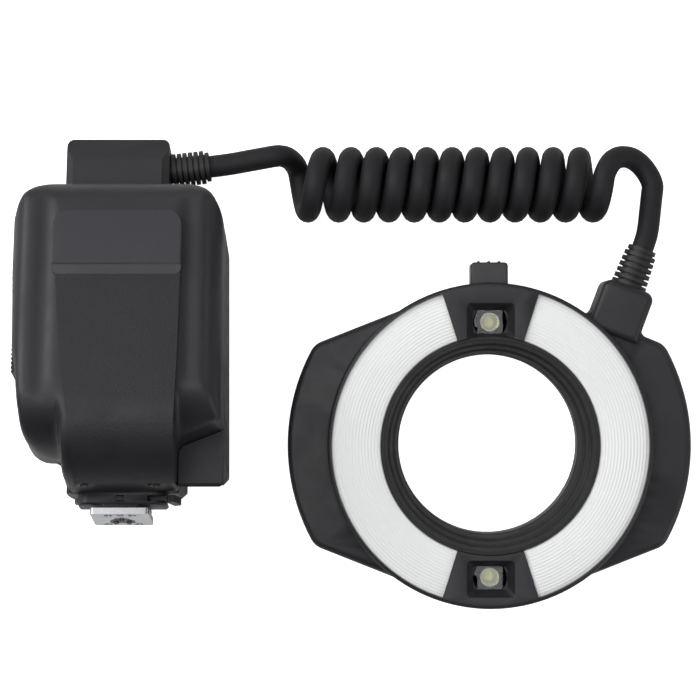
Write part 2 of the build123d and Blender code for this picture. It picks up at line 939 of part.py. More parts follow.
lie = math.radians(unit_lie)
unit_z = unit_back * math.cos(lie)
unit_place = Pos(unit_x, unit_y, unit_z) * Rot(-90 - unit_lie, 0, 0)


def lying(shape):
    """The control unit's piece as it lies on the table."""
    return unit_place * shape


def front_view(face, y0, y1):
    """Bar along y from a face drawn in x and z."""
    return extrude(Plane(origin=(0, y1, 0), x_dir=(1, 0, 0), z_dir=(0, -1, 0)) * face, y1 - y0)


def side_view(face, x0, x1):
    """Bar along x from a face drawn in y and z."""
    return extrude(Plane(origin=(x0, 0, 0), x_dir=(0, 1, 0), z_dir=(1, 0, 0)) * face, x1 - x0)


def unit_outline(grow):
    """Front half from the front, with the notch for the socket block at its lower right."""
    low_right = [(unit_neck_right, unit_bottom), (unit_neck_right, unit_notch_z),
                 (unit_right, unit_notch_side_z)]
    low_right_radii = [neck_corner / 2, neck_corner, 0]
    corners = low_right + [
        (unit_right, unit_top), (-unit_left, unit_top), (-unit_left + fit, (unit_top + unit_step_z) / 2),
        (-unit_left + door_axis_depth / 2, unit_step_z), (-unit_left_step, unit_step_z - wall / 2),
        (-unit_left_low, unit_shelf_z), (-unit_neck_left, unit_shelf_z), (-unit_neck_left, unit_bottom),
    ]
    radii = low_right_radii + [top_corner, top_corner, 0, 0, 0, low_corner, shelf_blend, neck_corner]
    face = rounded(corners, radii)
    return offset(face, grow, kind=Kind.INTERSECTION) if grow else face


def front_plan(grow):
    """Section of the front half from above: a flat middle, two valleys and two round side lobes."""
    y = -unit_front
    crest = y - lobe_crest_proud
    valley = y + valley_depth
    corners = ((-unit_left, unit_back), (-unit_left, -lobe_side_y), (-lobe_crest_left, crest),
               (-valley_left, valley), (-flat_left, y), (flat_right, y), (valley_right, valley),
               (lobe_crest_right, crest), (unit_right, -lobe_side_y), (unit_right, unit_back))
    radii = (0, lobe_side_round, lobe_crest_round, valley_round, flat_round, flat_round, valley_round,
             lobe_crest_round, lobe_side_round_right, 0)
    face = rounded(corners, radii)
    return offset(face, grow, kind=Kind.INTERSECTION) if grow else face


def lobe_bars(grow):
    """Side views that round the lobes' lower ends, and the full bar of the neck between them."""
    y_front = -unit_front - grow - air
    top = 2 * unit_top
    bars = block(-unit_neck_left - grow, unit_neck_right + grow, 2 * y_front, 0, 0, top)
    for x0, x1, low in ((-2 * unit_left, 0, unit_shelf_z - grow), (0, 2 * unit_right, unit_notch_z - grow)):
        side = rounded(((y_front, low), (0, low), (0, top), (y_front, top)), (lobe_round + grow, 0, 0, 0))
        bars += side_view(side, x0, x1)
    return bars


def fall(face, y0):
    """Bar from a face drawn in x and z at a depth, straight down to the table."""
    way = Vector(0, math.cos(lie), math.sin(lie))
    return extrude(Plane(origin=(0, y0, 0), x_dir=(1, 0, 0), z_dir=(0, -1, 0)) * face, 2 * unit_back, dir=way)


def under_outline(grow):
    """Lower edge of the rear half just before the parting, open to the sides and the top."""
    neck = unit_bottom - (neck_back + unit_parting + overrun) * math.tan(lie)
    left = -unit_left - 2 * overrun
    right = unit_right + 2 * overrun
    corners = ((unit_neck_right, neck), (unit_neck_right, unit_block_z), (right, unit_block_z),
               (right, 2 * unit_top), (left, 2 * unit_top), (left, unit_step_z),
               (-unit_left_step, unit_step_z - wall / 2), (-unit_left_low, unit_shelf_z),
               (-unit_neck_left, unit_shelf_z), (-unit_neck_left, neck))
    radii = (neck_back_corner, neck_back_corner, 0, 0, 0, 0, 0, low_corner, shelf_blend, neck_corner)
    face = rounded(corners, radii)
    return offset(face, grow, kind=Kind.INTERSECTION) if grow else face


def rear_bar(grow):
    """Rear half from above: straight sides and top, and a lower edge that falls straight to the table."""
    low = -unit_top
    corners = ((-unit_left - grow, low), (unit_right + grow, low), (unit_right + grow, unit_top + grow),
               (-unit_left - grow, unit_top + grow))
    face = rounded(corners, (0, 0, top_corner + grow, top_corner + grow))
    y0 = -unit_parting - overrun
    return front_view(face, y0, 2 * unit_back) & fall(under_outline(grow), y0)


def unit_solid(front, grow):
    """Solid of one half of the casing, grown or shrunk on every outer side."""
    y_front = -unit_front - grow
    y_part = -unit_parting
    top = unit_top + grow
    bottom = unit_bottom - grow
    over = overrun if grow < 0 else 0
    if front:
        view = front_view(unit_outline(grow), y_front - overrun, y_part + over)
        side = rounded(((y_front, bottom), (y_part + over, bottom), (y_part + over, top), (y_front, top)),
                       (chin_round + grow, 0, 0, front_top_round + grow))
        body = view & side_view(side, -2 * unit_left, 2 * unit_right)
        plan = extrude(Pos(0, 0, -overrun) * front_plan(grow), 2 * unit_top)
        return lying(body & plan & lobe_bars(grow))
    back_low = unit_back - bottom * math.tan(lie)
    back_high = unit_back - top * math.tan(lie)
    side = rounded(((y_part - over, bottom), (back_low, bottom), (back_high, top), (y_part - over, top)),
                   (0, 0, back_edge_round, 0))
    return lying(rear_bar(grow) & side_view(side, -2 * unit_left, 2 * unit_right))


def back_frame(grow, z0):
    """Bar along Y whose lower edges are rounded, to round the sides of the casing's back."""
    left = unit_x - unit_left - grow
    right = unit_x + unit_right + grow
    high = 2 * unit_back
    face = rounded(((left, z0), (right, z0), (right, high), (left, high)),
                   (back_side_round, back_side_round, 0, 0))
    reach = unit_top * 2
    plane = Plane(origin=(0, reach, 0), x_dir=(1, 0, 0), z_dir=(0, -1, 0))
    return extrude(plane * face, 2 * reach)


def back_place(x, along):
    """Place on the unit's back, from its middle and along its height."""
    return Pos(unit_x + x, unit_y + along, 0)


def door_cut():
    """Opening for the battery door, its slide and its hinge."""
    x_in = -unit_left + 2 * wall + door_axis_depth
    x_out = -unit_left - overrun
    room = block(x_out, x_in, -door_front - air, door_back + air, door_bottom_z - door_slide - air,
                 door_axis_z + door_top_over + air)
    swing = math.hypot(door_axis_depth + overrun / 2, door_top_over) + air
    axis = Plane(origin=(-unit_left + door_axis_depth, -door_front - air, door_axis_z), z_dir=(0, 1, 0))
    room += extrude(axis * Circle(swing), door_front + door_back + 2 * air)
    slot = door_pin_radius + air
    over = door_pin_over + air
    room += block(-unit_left + door_axis_depth - slot, -unit_left + door_axis_depth + slot, -door_front - over,
                  door_back + over, door_axis_z - door_slide - slot, door_axis_z + slot)
    return lying(room)


def block_bar(inset):
    """Bar of the socket block: its top square to the front, its lower side straight down to the table."""
    low = unit_block_z - (block_depth - unit_parting - overrun) * math.tan(lie) + inset
    left = unit_neck_right + air + inset
    right = unit_right - inset
    top_left = unit_notch_z - air - fit - inset
    top_right = unit_notch_side_z - air - fit - inset
    upper = ((left, -unit_top), (right, -unit_top), (right, top_right), (left, top_left))
    under = ((left, low), (right, low), (right, unit_top), (left, unit_top))
    round_in = neck_corner - inset
    face = rounded(under, (0, 0, 0, 0) if inset else (fit, block_round, 0, 0))
    y0 = -block_depth + inset
    return front_view(rounded(upper, (0, 0, 0, round_in)), y0, 0) & fall(face, y0)


def socket_block():
    """Hollow block that fills the notch of the front half, bevelled along its lower front edge."""
    low = unit_block_z - (block_depth - unit_parting - overrun) * math.tan(lie)
    reach = block(0, 2 * unit_right, -2 * unit_front, -unit_parting + fit, 0, unit_top)
    body = (block_bar(0) & reach) - block_bar(wall)
    out = -block_depth - overrun
    edge = ((out, low - overrun), (-block_depth + block_round, low - overrun),
            (-block_depth + block_round, low), (-block_depth, low + block_round), (out, low + block_round))
    return lying(body - side_view(rounded(edge, (0, 0, 0, 0, 0)), 0, 2 * unit_right))


def chin_posts(depth):
    """Pair of posts inside the casing's chin that take the screws from below."""
    high = unit_bottom + housing_screw_length
    posts = [disc(2 * foot_screw_head, unit_bottom + wall - fit, high, foot_x + side * chin_screw_x, depth)
             for side in (-1, 1)]
    return lying(posts[0] + posts[1])


def chin_bores(depth):
    """Holes for the pair of screws, with the seats of their heads."""
    high = unit_bottom + housing_screw_length + overrun
    low = unit_bottom + screw_head_depth
    bores = None
    for side in (-1, 1):
        x = foot_x + side * chin_screw_x
        bore = disc(screw_shank_radius, 0, high, x, depth) + disc(screw_head_radius + fit, 0, low, x, depth)
        bores = bore if bores is None else bores + bore
    return lying(bores)


def front_cover():
    body = unit_solid(True, 0) - unit_solid(True, -wall)
    body = body + chin_posts(-chin_screw_y) - chin_bores(-chin_screw_y)
    return body - door_cut()


def back_opening(width, height, corner, x, along):
    """Hole through the back panel."""
    face = Pos(0, 0, -overrun) * RectangleRounded(width, height, corner)
    return back_place(x, along) * extrude(face, 2 * overrun + back_recess + wall)


def key_places():
    """Middles of the row of function keys, left to right as seen from the back."""
    first = (key_count - 1) / 2
    return [(first - step) * key_pitch for step in range(key_count)]


def rear_cover():
    cavity = unit_solid(False, -wall) & back_frame(-wall, back_recess + wall)
    body = unit_solid(False, 0) & back_frame(0, 0)
    body -= cavity
    rim = back_rim + back_side_round / 2
    floor_bar = block(-2 * unit_left, 2 * unit_right, -unit_top, 2 * unit_top, -overrun, back_recess)
    body -= lying(rear_bar(-rim)) & back_place(0, 0) * floor_bar
    body -= back_opening(display_width + 2 * fit, display_height + 2 * fit, display_corner, 0, display_place)
    for x in key_places():
        body -= back_opening(key_width + 2 * air, key_height + 2 * air, key_corner, x, key_row_place)
    body -= back_place(0, dial_place) * disc(dial_collar_radius + air, 0, back_recess + wall + overrun)
    body -= back_opening(switch_stem + switch_travel + 2 * air, switch_stem + 2 * air, fit, -switch_place_x,
                         switch_place)
    body -= back_place(test_place_x, test_place) * disc(test_radius + air, 0, back_recess + wall + overrun)
    floor = back_recess + wall
    for x in (-main_board_left + post_radius, main_board_right - post_radius):
        for along in (key_row_place - post_drop, main_board_high - 2 * post_radius):
            body += back_place(x, along) * disc(post_radius, floor - fit, main_board_height)
    body = body + socket_block() + (lying(socket_wall()) & unit_solid(False, 0)) - lying(flap_room())
    body = body + chin_posts(rear_screw_y) - chin_bores(rear_screw_y)
    return body - door_cut()


def grown_front(grow, shape):
    """Skin of the front half between two growths, inside a bar."""
    return unit_solid(True, grow) & lying(shape)


def panel_bar():
    """Tapered front view of the raised panel."""
    corners = ((-panel_low_left, 0), (panel_low_right, 0), (panel_low_right, panel_low_z),
               (panel_mid_right, panel_mid_z), (panel_top_half, plate_bottom_z), (panel_top_half, panel_top_z),
               (-panel_top_half, panel_top_z), (-panel_top_half, plate_bottom_z),
               (-panel_mid_left, panel_mid_z), (-panel_low_left, panel_low_z))
    y_back = -chin_screw_y - screw_head_radius - wall
    return front_view(rounded(corners, [0] * len(corners)), -2 * unit_front, y_back)


def front_panel():
    return grown_front(panel_proud, panel_bar()) - unit_solid(True, 0)


def name_plate():
    """Bare raised plate across the top of the panel."""
    corners = ((-plate_left, plate_bottom_z), (plate_right, plate_bottom_z), (plate_right, plate_top_z),
               (-plate_left, plate_top_z))
    face = rounded(corners, (plate_low_corner, plate_low_corner, plate_corner, plate_corner))
    bar = front_view(face, -2 * unit_front, -unit_front + wall)
    y = -unit_front - panel_proud
    out = y - plate_proud - overrun
    slope = plate_proud / plate_bevel
    wedge = ((y - fit, plate_bottom_z), (out, plate_bottom_z + (y - out) / slope),
             (out, plate_bottom_z - overrun), (y - fit, plate_bottom_z - overrun))
    bar -= side_view(rounded(wedge, (0, 0, 0, 0)), -plate_left - overrun, plate_right + overrun)
    return grown_front(panel_proud + plate_proud, bar) - unit_solid(True, 0) - front_panel()


def battery_door():
    """Door on the left side: a flush panel, an outer lip at its foot, grip ribs and hinge knuckles."""
    outside = unit_solid(True, 0) + unit_solid(False, 0)
    x_out = -unit_left - overrun
    axis_x = -unit_left + door_axis_depth
    panel = lying(block(x_out, -unit_left + wall + door_axis_depth / 2, -door_front, door_back, door_bottom_z,
                        door_axis_z + door_top_over))
    lip_in = -unit_left_step - air
    lip = lying(block(lip_in - door_lip_thick, lip_in, -door_front, door_back, door_lip_z,
                      door_bottom_z + wall))
    pad = lying(block(-unit_left - grip_proud / 2, lip_in, -door_front + lobe_side_round / 2,
                      door_back - wall, grip_bottom_z, grip_top_z))
    body = (outside & panel) + lip + pad
    pitch_length = (grip_top_z - grip_bottom_z) / grip_ribs
    for step in range(grip_ribs):
        z = grip_bottom_z + (step + 1 / 2) * pitch_length
        body -= lying(block(x_out, -unit_left - grip_proud / 2 + pitch_length / 4, -door_front, door_back,
                            z - pitch_length / 4, z + pitch_length / 4))
    span = door_front + door_back
    for share in (0, 1 / 2, 1):
        y = -door_front + share * (span - door_knuckle_length)
        knuckle = Plane(origin=(axis_x, y, door_axis_z), z_dir=(0, 1, 0))
        body += lying(extrude(knuckle * Circle(door_knuckle_radius), door_knuckle_length))
    bore = Plane(origin=(axis_x, -door_front - overrun, door_axis_z), z_dir=(0, 1, 0))
    return body - lying(extrude(bore * Circle(door_pin_radius + running), span + 2 * overrun))


def battery_door_pin():
    axis = Plane(origin=(-unit_left + door_axis_depth, -door_front - door_pin_over, door_axis_z),
                 z_dir=(0, 1, 0))
    return lying(extrude(axis * Circle(door_pin_radius), door_front + door_back + 2 * door_pin_over))


def cell_places():
    """Axes of the four cells: depth and height."""
    half = cell_pitch / 2
    return [(-cell_depth_place + sy * half, cell_height_place + sz * half)
            for sy in (-1, 1) for sz in (-1, 1)]


def cell_bar(radius, x0, x1, y, z):
    """Bar across the unit at a cell's axis."""
    return extrude(Plane(origin=(x0, y, z), z_dir=(1, 0, 0)) * Circle(radius), x1 - x0)


def battery_box():
    """Open-ended block with four bores, two ribs to the side wall and a saddle for the capacitor."""
    half = box_half
    inner_end = -box_left + cell_length + cell_nub + 2 * contact_thick
    y0 = -cell_depth_place - half
    y1 = -cell_depth_place + half
    z0 = cell_height_place - half
    z1 = cell_height_place + half
    body = block(-box_left, inner_end + box_wall, y0, y1, z0, z1)
    for y, z in cell_places():
        body -= cell_bar(cell_radius + cell_bore_gap, -box_left - overrun, inner_end, y, z)
    side = unit_right - wall - air
    body += block(inner_end, side, y0, y0 + box_wall * 2, z0, z1)
    body += block(inner_end, side, y1 - box_wall * 2, y1, z0, z1)
    saddle = capacitor_height_place + capacitor_radius + fit
    for sign in (-1, 1):
        x = sign * capacitor_length / 4 - capacitor_cap
        body += block(x - saddle_width / 2, x + saddle_width / 2, -capacitor_depth_place - saddle_width / 2,
                      -capacitor_depth_place + saddle_width / 2, saddle, z0)
    return lying(body)


def batteries():
    """Four cells that lie across the unit, every other one turned round."""
    group = None
    for index, (y, z) in enumerate(cell_places()):
        start = -box_left + (cell_nub if index % 3 else 0)
        cell = cell_bar(cell_radius, start, start + cell_length, y, z)
        nub = start - cell_nub if index % 3 else start + cell_length
        cell += cell_bar(cell_nub_radius, nub, nub + cell_nub, y, z)
        group = cell if group is None else group + cell
    return lying(group)


def battery_contacts():
    """Sprung strips at the box's inner end, each across the bores of two cells."""
    x0 = -box_left + cell_length + cell_nub + fit
    bores = None
    for y, z in cell_places():
        bore = cell_bar(cell_radius, x0, x0 + contact_thick, y, z)
        bores = bore if bores is None else bores + bore
    return lying(bores)


def main_board():
    board = block(-main_board_left, main_board_right, main_board_low, main_board_high, main_board_height,
                  main_board_height + main_board_thick)
    return back_place(0, 0) * board


def main_capacitor():
    y = -capacitor_depth_place
    z = capacitor_height_place
    half = capacitor_length / 2
    body = cell_bar(capacitor_radius, -half - capacitor_cap, half - capacitor_cap, y, z)
    body += cell_bar(capacitor_radius - wall, half - capacitor_cap, half, y, z)
    return lying(body)


def transformer():
    """Core with its two flanges, standing on the battery box."""
    base = cell_height_place + box_half
    y0 = -cell_depth_place - transformer_depth / 2
    y1 = y0 + transformer_depth
    half = transformer_width / 2
    body = block(-half, half, y0 + transformer_flange, y1 - transformer_flange, base, base + transformer_height)
    for x0 in (-half, half - transformer_flange):
        body += block(x0, x0 + transformer_flange, y0, y1, base, base + transformer_height)
    return lying(body)


# Rear controls, built on the table plane that the unit's back lies on

def display_window():
    glass = RectangleRounded(display_width, display_height, display_corner)
    low = back_recess + fit
    return back_place(0, display_place) * (Pos(0, 0, low) * extrude(glass, wall - 2 * fit))


def display_module():
    low = back_recess + wall
    width = display_width / 2 + display_module_margin
    height = display_height / 2 + display_module_margin
    return back_place(0, display_place) * block(-width, width, -height, height, low, main_board_height)


def key(face, flange_face, face_z):
    """Key with its face, a flange behind the panel and a stem towards the board."""
    flange_z = back_recess + wall + air
    body = Pos(0, 0, face_z) * extrude(face, key_stem_end - face_z)
    return body + Pos(0, 0, flange_z) * extrude(flange_face, key_flange_thick)


def function_button(x):
    face = RectangleRounded(key_width, key_height, key_corner)
    wide = key_width + 2 * key_flange
    flange = RectangleRounded(wide, key_height + 2 * key_flange, key_corner)
    return back_place(x, key_row_place) * key(face, flange, key_face)


def test_button():
    return back_place(test_place_x, test_place) * key(Circle(test_radius), Circle(test_radius + key_flange),
                                                      key_face)


def select_dial():
    """Thumb wheel with a knurled edge and a collar that clips behind the panel."""
    high = dial_face + dial_thick
    wheel = disc(dial_radius, dial_face, high)
    for step in range(dial_knurls):
        x, y = polar(dial_radius + dial_knurl_radius / 2, step * 360 / dial_knurls)
        wheel -= disc(dial_knurl_radius, dial_face - overrun, high + overrun, x, y)
    wheel += disc(dial_collar_radius, high - fit, dial_collar_end)
    clip = back_recess + wall + air
    wheel += disc(dial_clip_radius, clip, clip + dial_clip_thick)
    return back_place(0, dial_place) * (wheel - disc(dial_bore, 0, dial_collar_end + overrun))


def set_button():
    """Round button in the dial, its flange behind the dial's collar."""
    low = dial_collar_end + air
    body = disc(set_button_radius, set_button_face, low + set_flange_thick)
    return back_place(0, dial_place) * (body + disc(set_flange_radius, low, low + set_flange_thick))


def power_switch():
    """Slide switch at the first end of its slot."""
    x = -switch_place_x - switch_travel / 2
    flange_z = back_recess + wall + air
    knob = Pos(0, 0, key_face) * extrude(RectangleRounded(switch_width, switch_height, key_corner),
                                         back_recess - key_face - air)
    stem = block(-switch_stem / 2, switch_stem / 2, -switch_stem / 2, switch_stem / 2,
                 back_recess - air - fit, flange_z + fit)
    slider = Pos(0, 0, flange_z) * extrude(RectangleRounded(switch_width, switch_height, key_corner),
                                           key_flange_thick)
    return back_place(x, switch_place) * (knob + stem + slider)


# Side socket

def flap_inner():
    """Inner face of the socket flap."""
    return unit_right - flap_thick


def flap_room():
    """Recess for the flap in the casing's side."""
    x0 = flap_inner() - air
    return block(x0, unit_right + overrun, -flap_depth_front - air, flap_axis_depth + flap_thick / 2 + air,
                 flap_low_z - air, flap_high_z + air)


def socket_wall():
    """Inner wall behind the flap, with the hole of the socket."""
    x1 = flap_inner() - air
    x0 = x1 - wall
    body = block(x0, x1 + fit, -flap_depth_front - wall, flap_axis_depth + flap_thick / 2 + wall,
                 unit_block_z + wall / 2, flap_high_z + wall)
    return body - cell_bar(socket_radius + fit, x0 - overrun, x1 + overrun, socket_place_y, socket_place_z)


def power_socket():
    x1 = flap_inner() - air
    x0 = x1 - socket_length
    body = cell_bar(socket_radius, x0, x1, socket_place_y, socket_place_z)
    flange = cell_bar(socket_radius + socket_flange, x0, x1 - wall - fit, socket_place_y, socket_place_z)
    body += flange
    for step in (-1, 0, 1):
        y = socket_place_y + step * socket_pin_pitch
        z = socket_place_z + abs(step) * socket_pin_radius
        body -= cell_bar(socket_pin_radius, x1 - socket_pocket, x1 + overrun, y, z)
    return lying(body)


def socket_cover():
    """Flap over the socket, hinged at its rear edge."""
    x0 = flap_inner()
    body = block(x0, unit_right, -flap_depth_front, flap_axis_depth, flap_low_z, flap_high_z)
    hinge = disc(flap_thick / 2, flap_low_z, flap_high_z, x0 + flap_thick / 2, flap_axis_depth)
    return lying(body + hinge)


# Plug box on top

def cable_plug_housing():
    low = unit_top
    side = ((-plug_front, low), (plug_back, low), (plug_back, plug_top),
            (-plug_front + plug_bevel_depth, plug_top),
            (-plug_front + plug_bevel_depth, plug_bevel_top_z), (-plug_front, plug_bevel_z))
    bar = side_view(rounded(side, (0, 0, plug_corner, 0, 0, 0)), -plug_left, plug_right)
    front = ((-plug_left, low), (plug_right, low), (plug_right, plug_top), (-plug_left, plug_top))
    view = front_view(rounded(front, (0, 0, plug_corner, plug_corner)), -2 * unit_front, unit_back)
    plan = ((-plug_left, -plug_front), (plug_right, -plug_front), (plug_right, plug_back),
            (-plug_left, plug_back))
    post = extrude(Pos(0, 0, low) * rounded(plan, (0, 0, plug_corner, plug_corner)), plug_top - low)
    edges = post.edges().filter_by(Axis.Z).group_by(Axis.Y)[0]
    post = chamfer(edges, plug_side_bevel)
    body = lying((bar & view) & post)
    return body - unit_boot(True)


def unit_boot(room):
    """Ribbed boot on the plug box's right side, or the room for its neck and flange."""
    y = unit_y + unit_boot_height * math.cos(lie) + unit_boot_depth * math.sin(lie)
    z = unit_z - unit_boot_height * math.sin(lie) + unit_boot_depth * math.cos(lie)
    tilt = math.radians(unit_boot_tilt)
    way = Vector(math.cos(tilt), math.sin(tilt), 0)
    tilt_gap = unit_boot_radius * math.sin(tilt)
    face = Plane(origin=(unit_x + plug_right + fit + tilt_gap, y, z), z_dir=way)
    if room:
        neck = disc(boot_core_radius + fit, -wall - fit, overrun)
        flange = disc(boot_base_radius + fit, -wall - boot_base_length - fit, -wall + fit)
        return face.location * (neck + flange)
    return face.location * ribbed_boot(unit_boot_length, boot_core_radius, unit_boot_radius, 0,
                                       boot_base_radius, boot_base_length, wall)


def controller_cable_boot():
    return unit_boot(False)


# Shoe foot

def foot_bar(face, z0, z1):
    """Upright bar on the foot's middle."""
    return Pos(foot_x, 0, z0) * extrude(face, z1 - z0)


def insulator_face(grow):
    """Arched outline of the contact insulator."""
    half = insulator_half_width + grow
    back = insulator_back + grow
    front = -insulator_front - grow
    corners = ((-half, back), (-half, insulator_neck), (-insulator_neck, front), (insulator_neck, front),
               (half, insulator_neck), (half, back))
    corner = foot_corner / 2
    return rounded(corners, (corner, corner, corner, corner, corner, corner))


def foot_screw_places():
    return ((foot_screw_front_x, -foot_screw_front_y), (-foot_screw_front_x, -foot_screw_front_y),
            (foot_screw_back_x, foot_screw_back_y), (-foot_screw_back_x, foot_screw_back_y))


def foot_plate():
    face = RectangleRounded(foot_width, foot_length, foot_corner) - insulator_face(fit)
    face -= Pos(0, -lock_pin_place) * Circle(lock_pin_radius + running)
    body = foot_bar(face, 0, foot_thick)
    for x, y in foot_screw_places():
        body -= disc(foot_screw_radius + fit, -overrun, foot_thick + overrun, foot_x + x, y)
        body -= disc(foot_screw_head + fit, -overrun, foot_screw_head_depth, foot_x + x, y)
    return lying(body)


def lever_sector():
    """Face of the room that the lever's arm sweeps."""
    reach = 2 * lever_arm_length
    side = math.degrees(math.asin((lever_arm_width / 2 + air) / lever_ring_radius))
    start = lever_rest_angle - side
    end = lever_rest_angle + lever_swing + side
    points = [(0, 0)]
    steps = 4
    for step in range(steps + 1):
        points.append(polar(reach, start + (end - start) * step / steps))
    return make_face(Polyline(*points, close=True).edges()) + Circle(lever_ring_radius + air)


def foot_base():
    """Dark base under the casing, slotted for the lock lever, with the neck that carries the plate."""
    left = -base_left - foot_x
    right = base_right - foot_x
    corners = ((left, -base_front), (right, -base_front), (right, base_wide_back),
               (base_back_half, base_wide_back),
               (base_back_half, base_back), (-base_back_half, base_back), (-base_back_half, base_wide_back),
               (left, base_wide_back))
    outline = rounded(corners, (base_corner, base_corner, foot_corner, foot_corner, foot_corner, foot_corner,
                                foot_corner, foot_corner))
    body = foot_bar(outline, base_low_z, unit_bottom)
    body = chamfer(body.faces().sort_by(Axis.Z)[0].outer_wire().edges(), foot_corner / 2)
    body += foot_bar(RectangleRounded(neck_width, neck_length, foot_corner), foot_thick, base_low_z + fit)
    sweep = lever_sector() - Circle(base_post_radius)
    body -= foot_bar(sweep, base_slot_low_z, base_slot_high_z)
    body -= foot_bar(insulator_face(fit), foot_thick - fit, insulator_height)
    body -= disc(lock_pin_radius + running, 0, base_slot_low_z + fit, foot_x, -lock_pin_place)
    for x, y in foot_screw_places():
        body -= disc(foot_screw_radius + fit, 0, base_slot_low_z + overrun, foot_x + x, y)
    x0 = -base_left - overrun
    x1 = -base_left + release_length - release_proud + release_travel + air
    width = release_width / 2 + air
    middle = (base_low_z + unit_bottom) / 2
    body -= block(x0, x1, -release_place - width, -release_place + width, middle - release_height / 2 - air,
                  middle + release_height / 2 + air)
    return lying(body)


def lock_lever():
    """Ring on the foot's post with an arm and a ribbed grip."""
    z0 = (base_slot_low_z + base_slot_high_z - lever_thick) / 2
    z1 = z0 + lever_thick
    ring = tube(lever_ring_radius, base_post_radius + running, z0, z1)
    start = lever_ring_radius - wall
    arm = block(start, lever_arm_length, -lever_arm_width / 2, lever_arm_width / 2, z0, z1)
    low = z0 - lever_grip_low
    grip_start = lever_arm_length + air
    grip = block(grip_start, grip_start + lever_grip_length, -lever_grip_width / 2, lever_grip_width / 2, low,
                 z1)
    grip = fillet(grip.edges().filter_by(Axis.Z).group_by(Axis.X)[-1], foot_corner)
    joint = block(start, grip_start + wall, -lever_arm_width / 2, lever_arm_width / 2, z0, z1)
    rib = lever_grip_length / (2 * lever_grip_ribs)
    for step in range(lever_grip_ribs):
        x = grip_start + (2 * step + 1) * rib
        grip -= block(x, x + rib, -lever_grip_width, -lever_grip_width / 2 + rib, low - overrun, z1 + overrun)
    body = ring + arm + grip + joint
    return lying(Pos(foot_x, 0, 0) * (Rot(0, 0, lever_rest_angle) * body))


def locking_pin():
    return lying(disc(lock_pin_radius, lock_pin_rest, base_slot_low_z - fit, foot_x, -lock_pin_place))


def lock_release_button():
    middle = (base_low_z + unit_bottom) / 2
    x0 = -base_left - release_proud
    body = block(x0, x0 + release_length, -release_place - release_width / 2, -release_place + release_width / 2,
                 middle - release_height / 2, middle + release_height / 2)
    return lying(fillet(body.edges().filter_by(Axis.Z).group_by(Axis.X)[0], foot_corner / 2))


def contact_places():
    return ((0, 0), (-contact_side, contact_back), (contact_side, contact_back))


def contact_insulator():
    body = foot_bar(insulator_face(0), 0, insulator_height - fit)
    for x, y in contact_places():
        body -= disc(contact_radius + running, -overrun, contact_top + contact_proud + air, foot_x + x, y)
    return lying(body)


def contact_pins():
    """Three sprung contacts, proud of the plate, their tops inside the insulator."""
    group = None
    for x, y in contact_places():
        pin = disc(contact_radius, -contact_proud, contact_top, foot_x + x, y)
        pin = fillet(pin.faces().sort_by(Axis.Z)[0].edges(), contact_radius / 2)
        group = pin if group is None else group + pin
    return lying(group)


def foot_screws():
    group = None
    length = base_slot_low_z - foot_screw_head_depth - fit
    shape = screw(foot_screw_head, foot_screw_head_depth - fit, foot_screw_radius, length)
    for x, y in foot_screw_places():
        piece = Pos(foot_x + x, y, fit) * shape
        group = piece if group is None else group + piece
    return lying(group)


def housing_screws():
    group = None
    shape = screw(screw_head_radius, screw_head_depth - fit, screw_shank_radius - fit,
                  housing_screw_length - wall)
    for side in (-1, 1):
        for y in (-chin_screw_y, rear_screw_y):
            piece = Pos(foot_x + side * chin_screw_x, y, unit_bottom + fit) * shape
            group = piece if group is None else group + piece
    return lying(group)


# Curly cord

def corner_radii(points):
    """Radius of each bend: 0.45 of its shorter run over the tangent of half its turn."""
    run_share = 0.45
    radii = []
    for a, b, c in zip(points, points[1:], points[2:]):
        before = Vector(b) - Vector(a)
        after = Vector(c) - Vector(b)
        half_turn = math.radians(before.get_angle(after)) / 2
        radii.append(run_share * min(before.length, after.length) / math.tan(half_turn))
    return radii


def lead(points):
    """Free stretch of cord: straight runs joined by tangent arcs."""
    radii = corner_radii(points)
    path = FilletPolyline(*points, radius=radii)
    start = Plane(origin=path @ 0, z_dir=path % 0)
    body = sweep(start * Circle(wire / 2), path=path)
    section = math.pi * (wire / 2) ** 2
    print("lead: bend radii", [round(r, 1) for r in radii], "volume over section times length",
          round(body.volume / (section * path.length), 4))
    return body


def boot_end(unit):
    """Centre of a boot's outer face and the way out of it."""
    if unit:
        y = unit_y + unit_boot_height * math.cos(lie) + unit_boot_depth * math.sin(lie)
        z = unit_z - unit_boot_height * math.sin(lie) + unit_boot_depth * math.cos(lie)
        tilt = math.radians(unit_boot_tilt)
        way = Vector(math.cos(tilt), math.sin(tilt), 0)
        x = unit_x + plug_right + fit + unit_boot_radius * math.sin(tilt)
        return Vector(x, y, z) + way * unit_boot_length, way
    way = boss_plane.y_dir
    return boss_plane.origin + Vector(0, 0, head_parting) + way * boot_length, way


def cord_lead_controller():
    end, way = boot_end(True)
    last = Vector(curls_enter[0])
    onward = (Vector(curls_enter[1]) - last).normalized()
    return lead([end, end + way * lead_end_run, last - onward * lead_end_run, last])


def cord_lead_ring():
    end, way = boot_end(False)
    first = Vector(curls_leave[1])
    onward = (first - Vector(curls_leave[0])).normalized()
    return lead([first, first + onward * ring_lead_end_run, end + way * ring_lead_end_run, end])


def coil_height():
    """Height of the coil's axis above the table."""
    return coil_radius + wire / 2 + table_clear


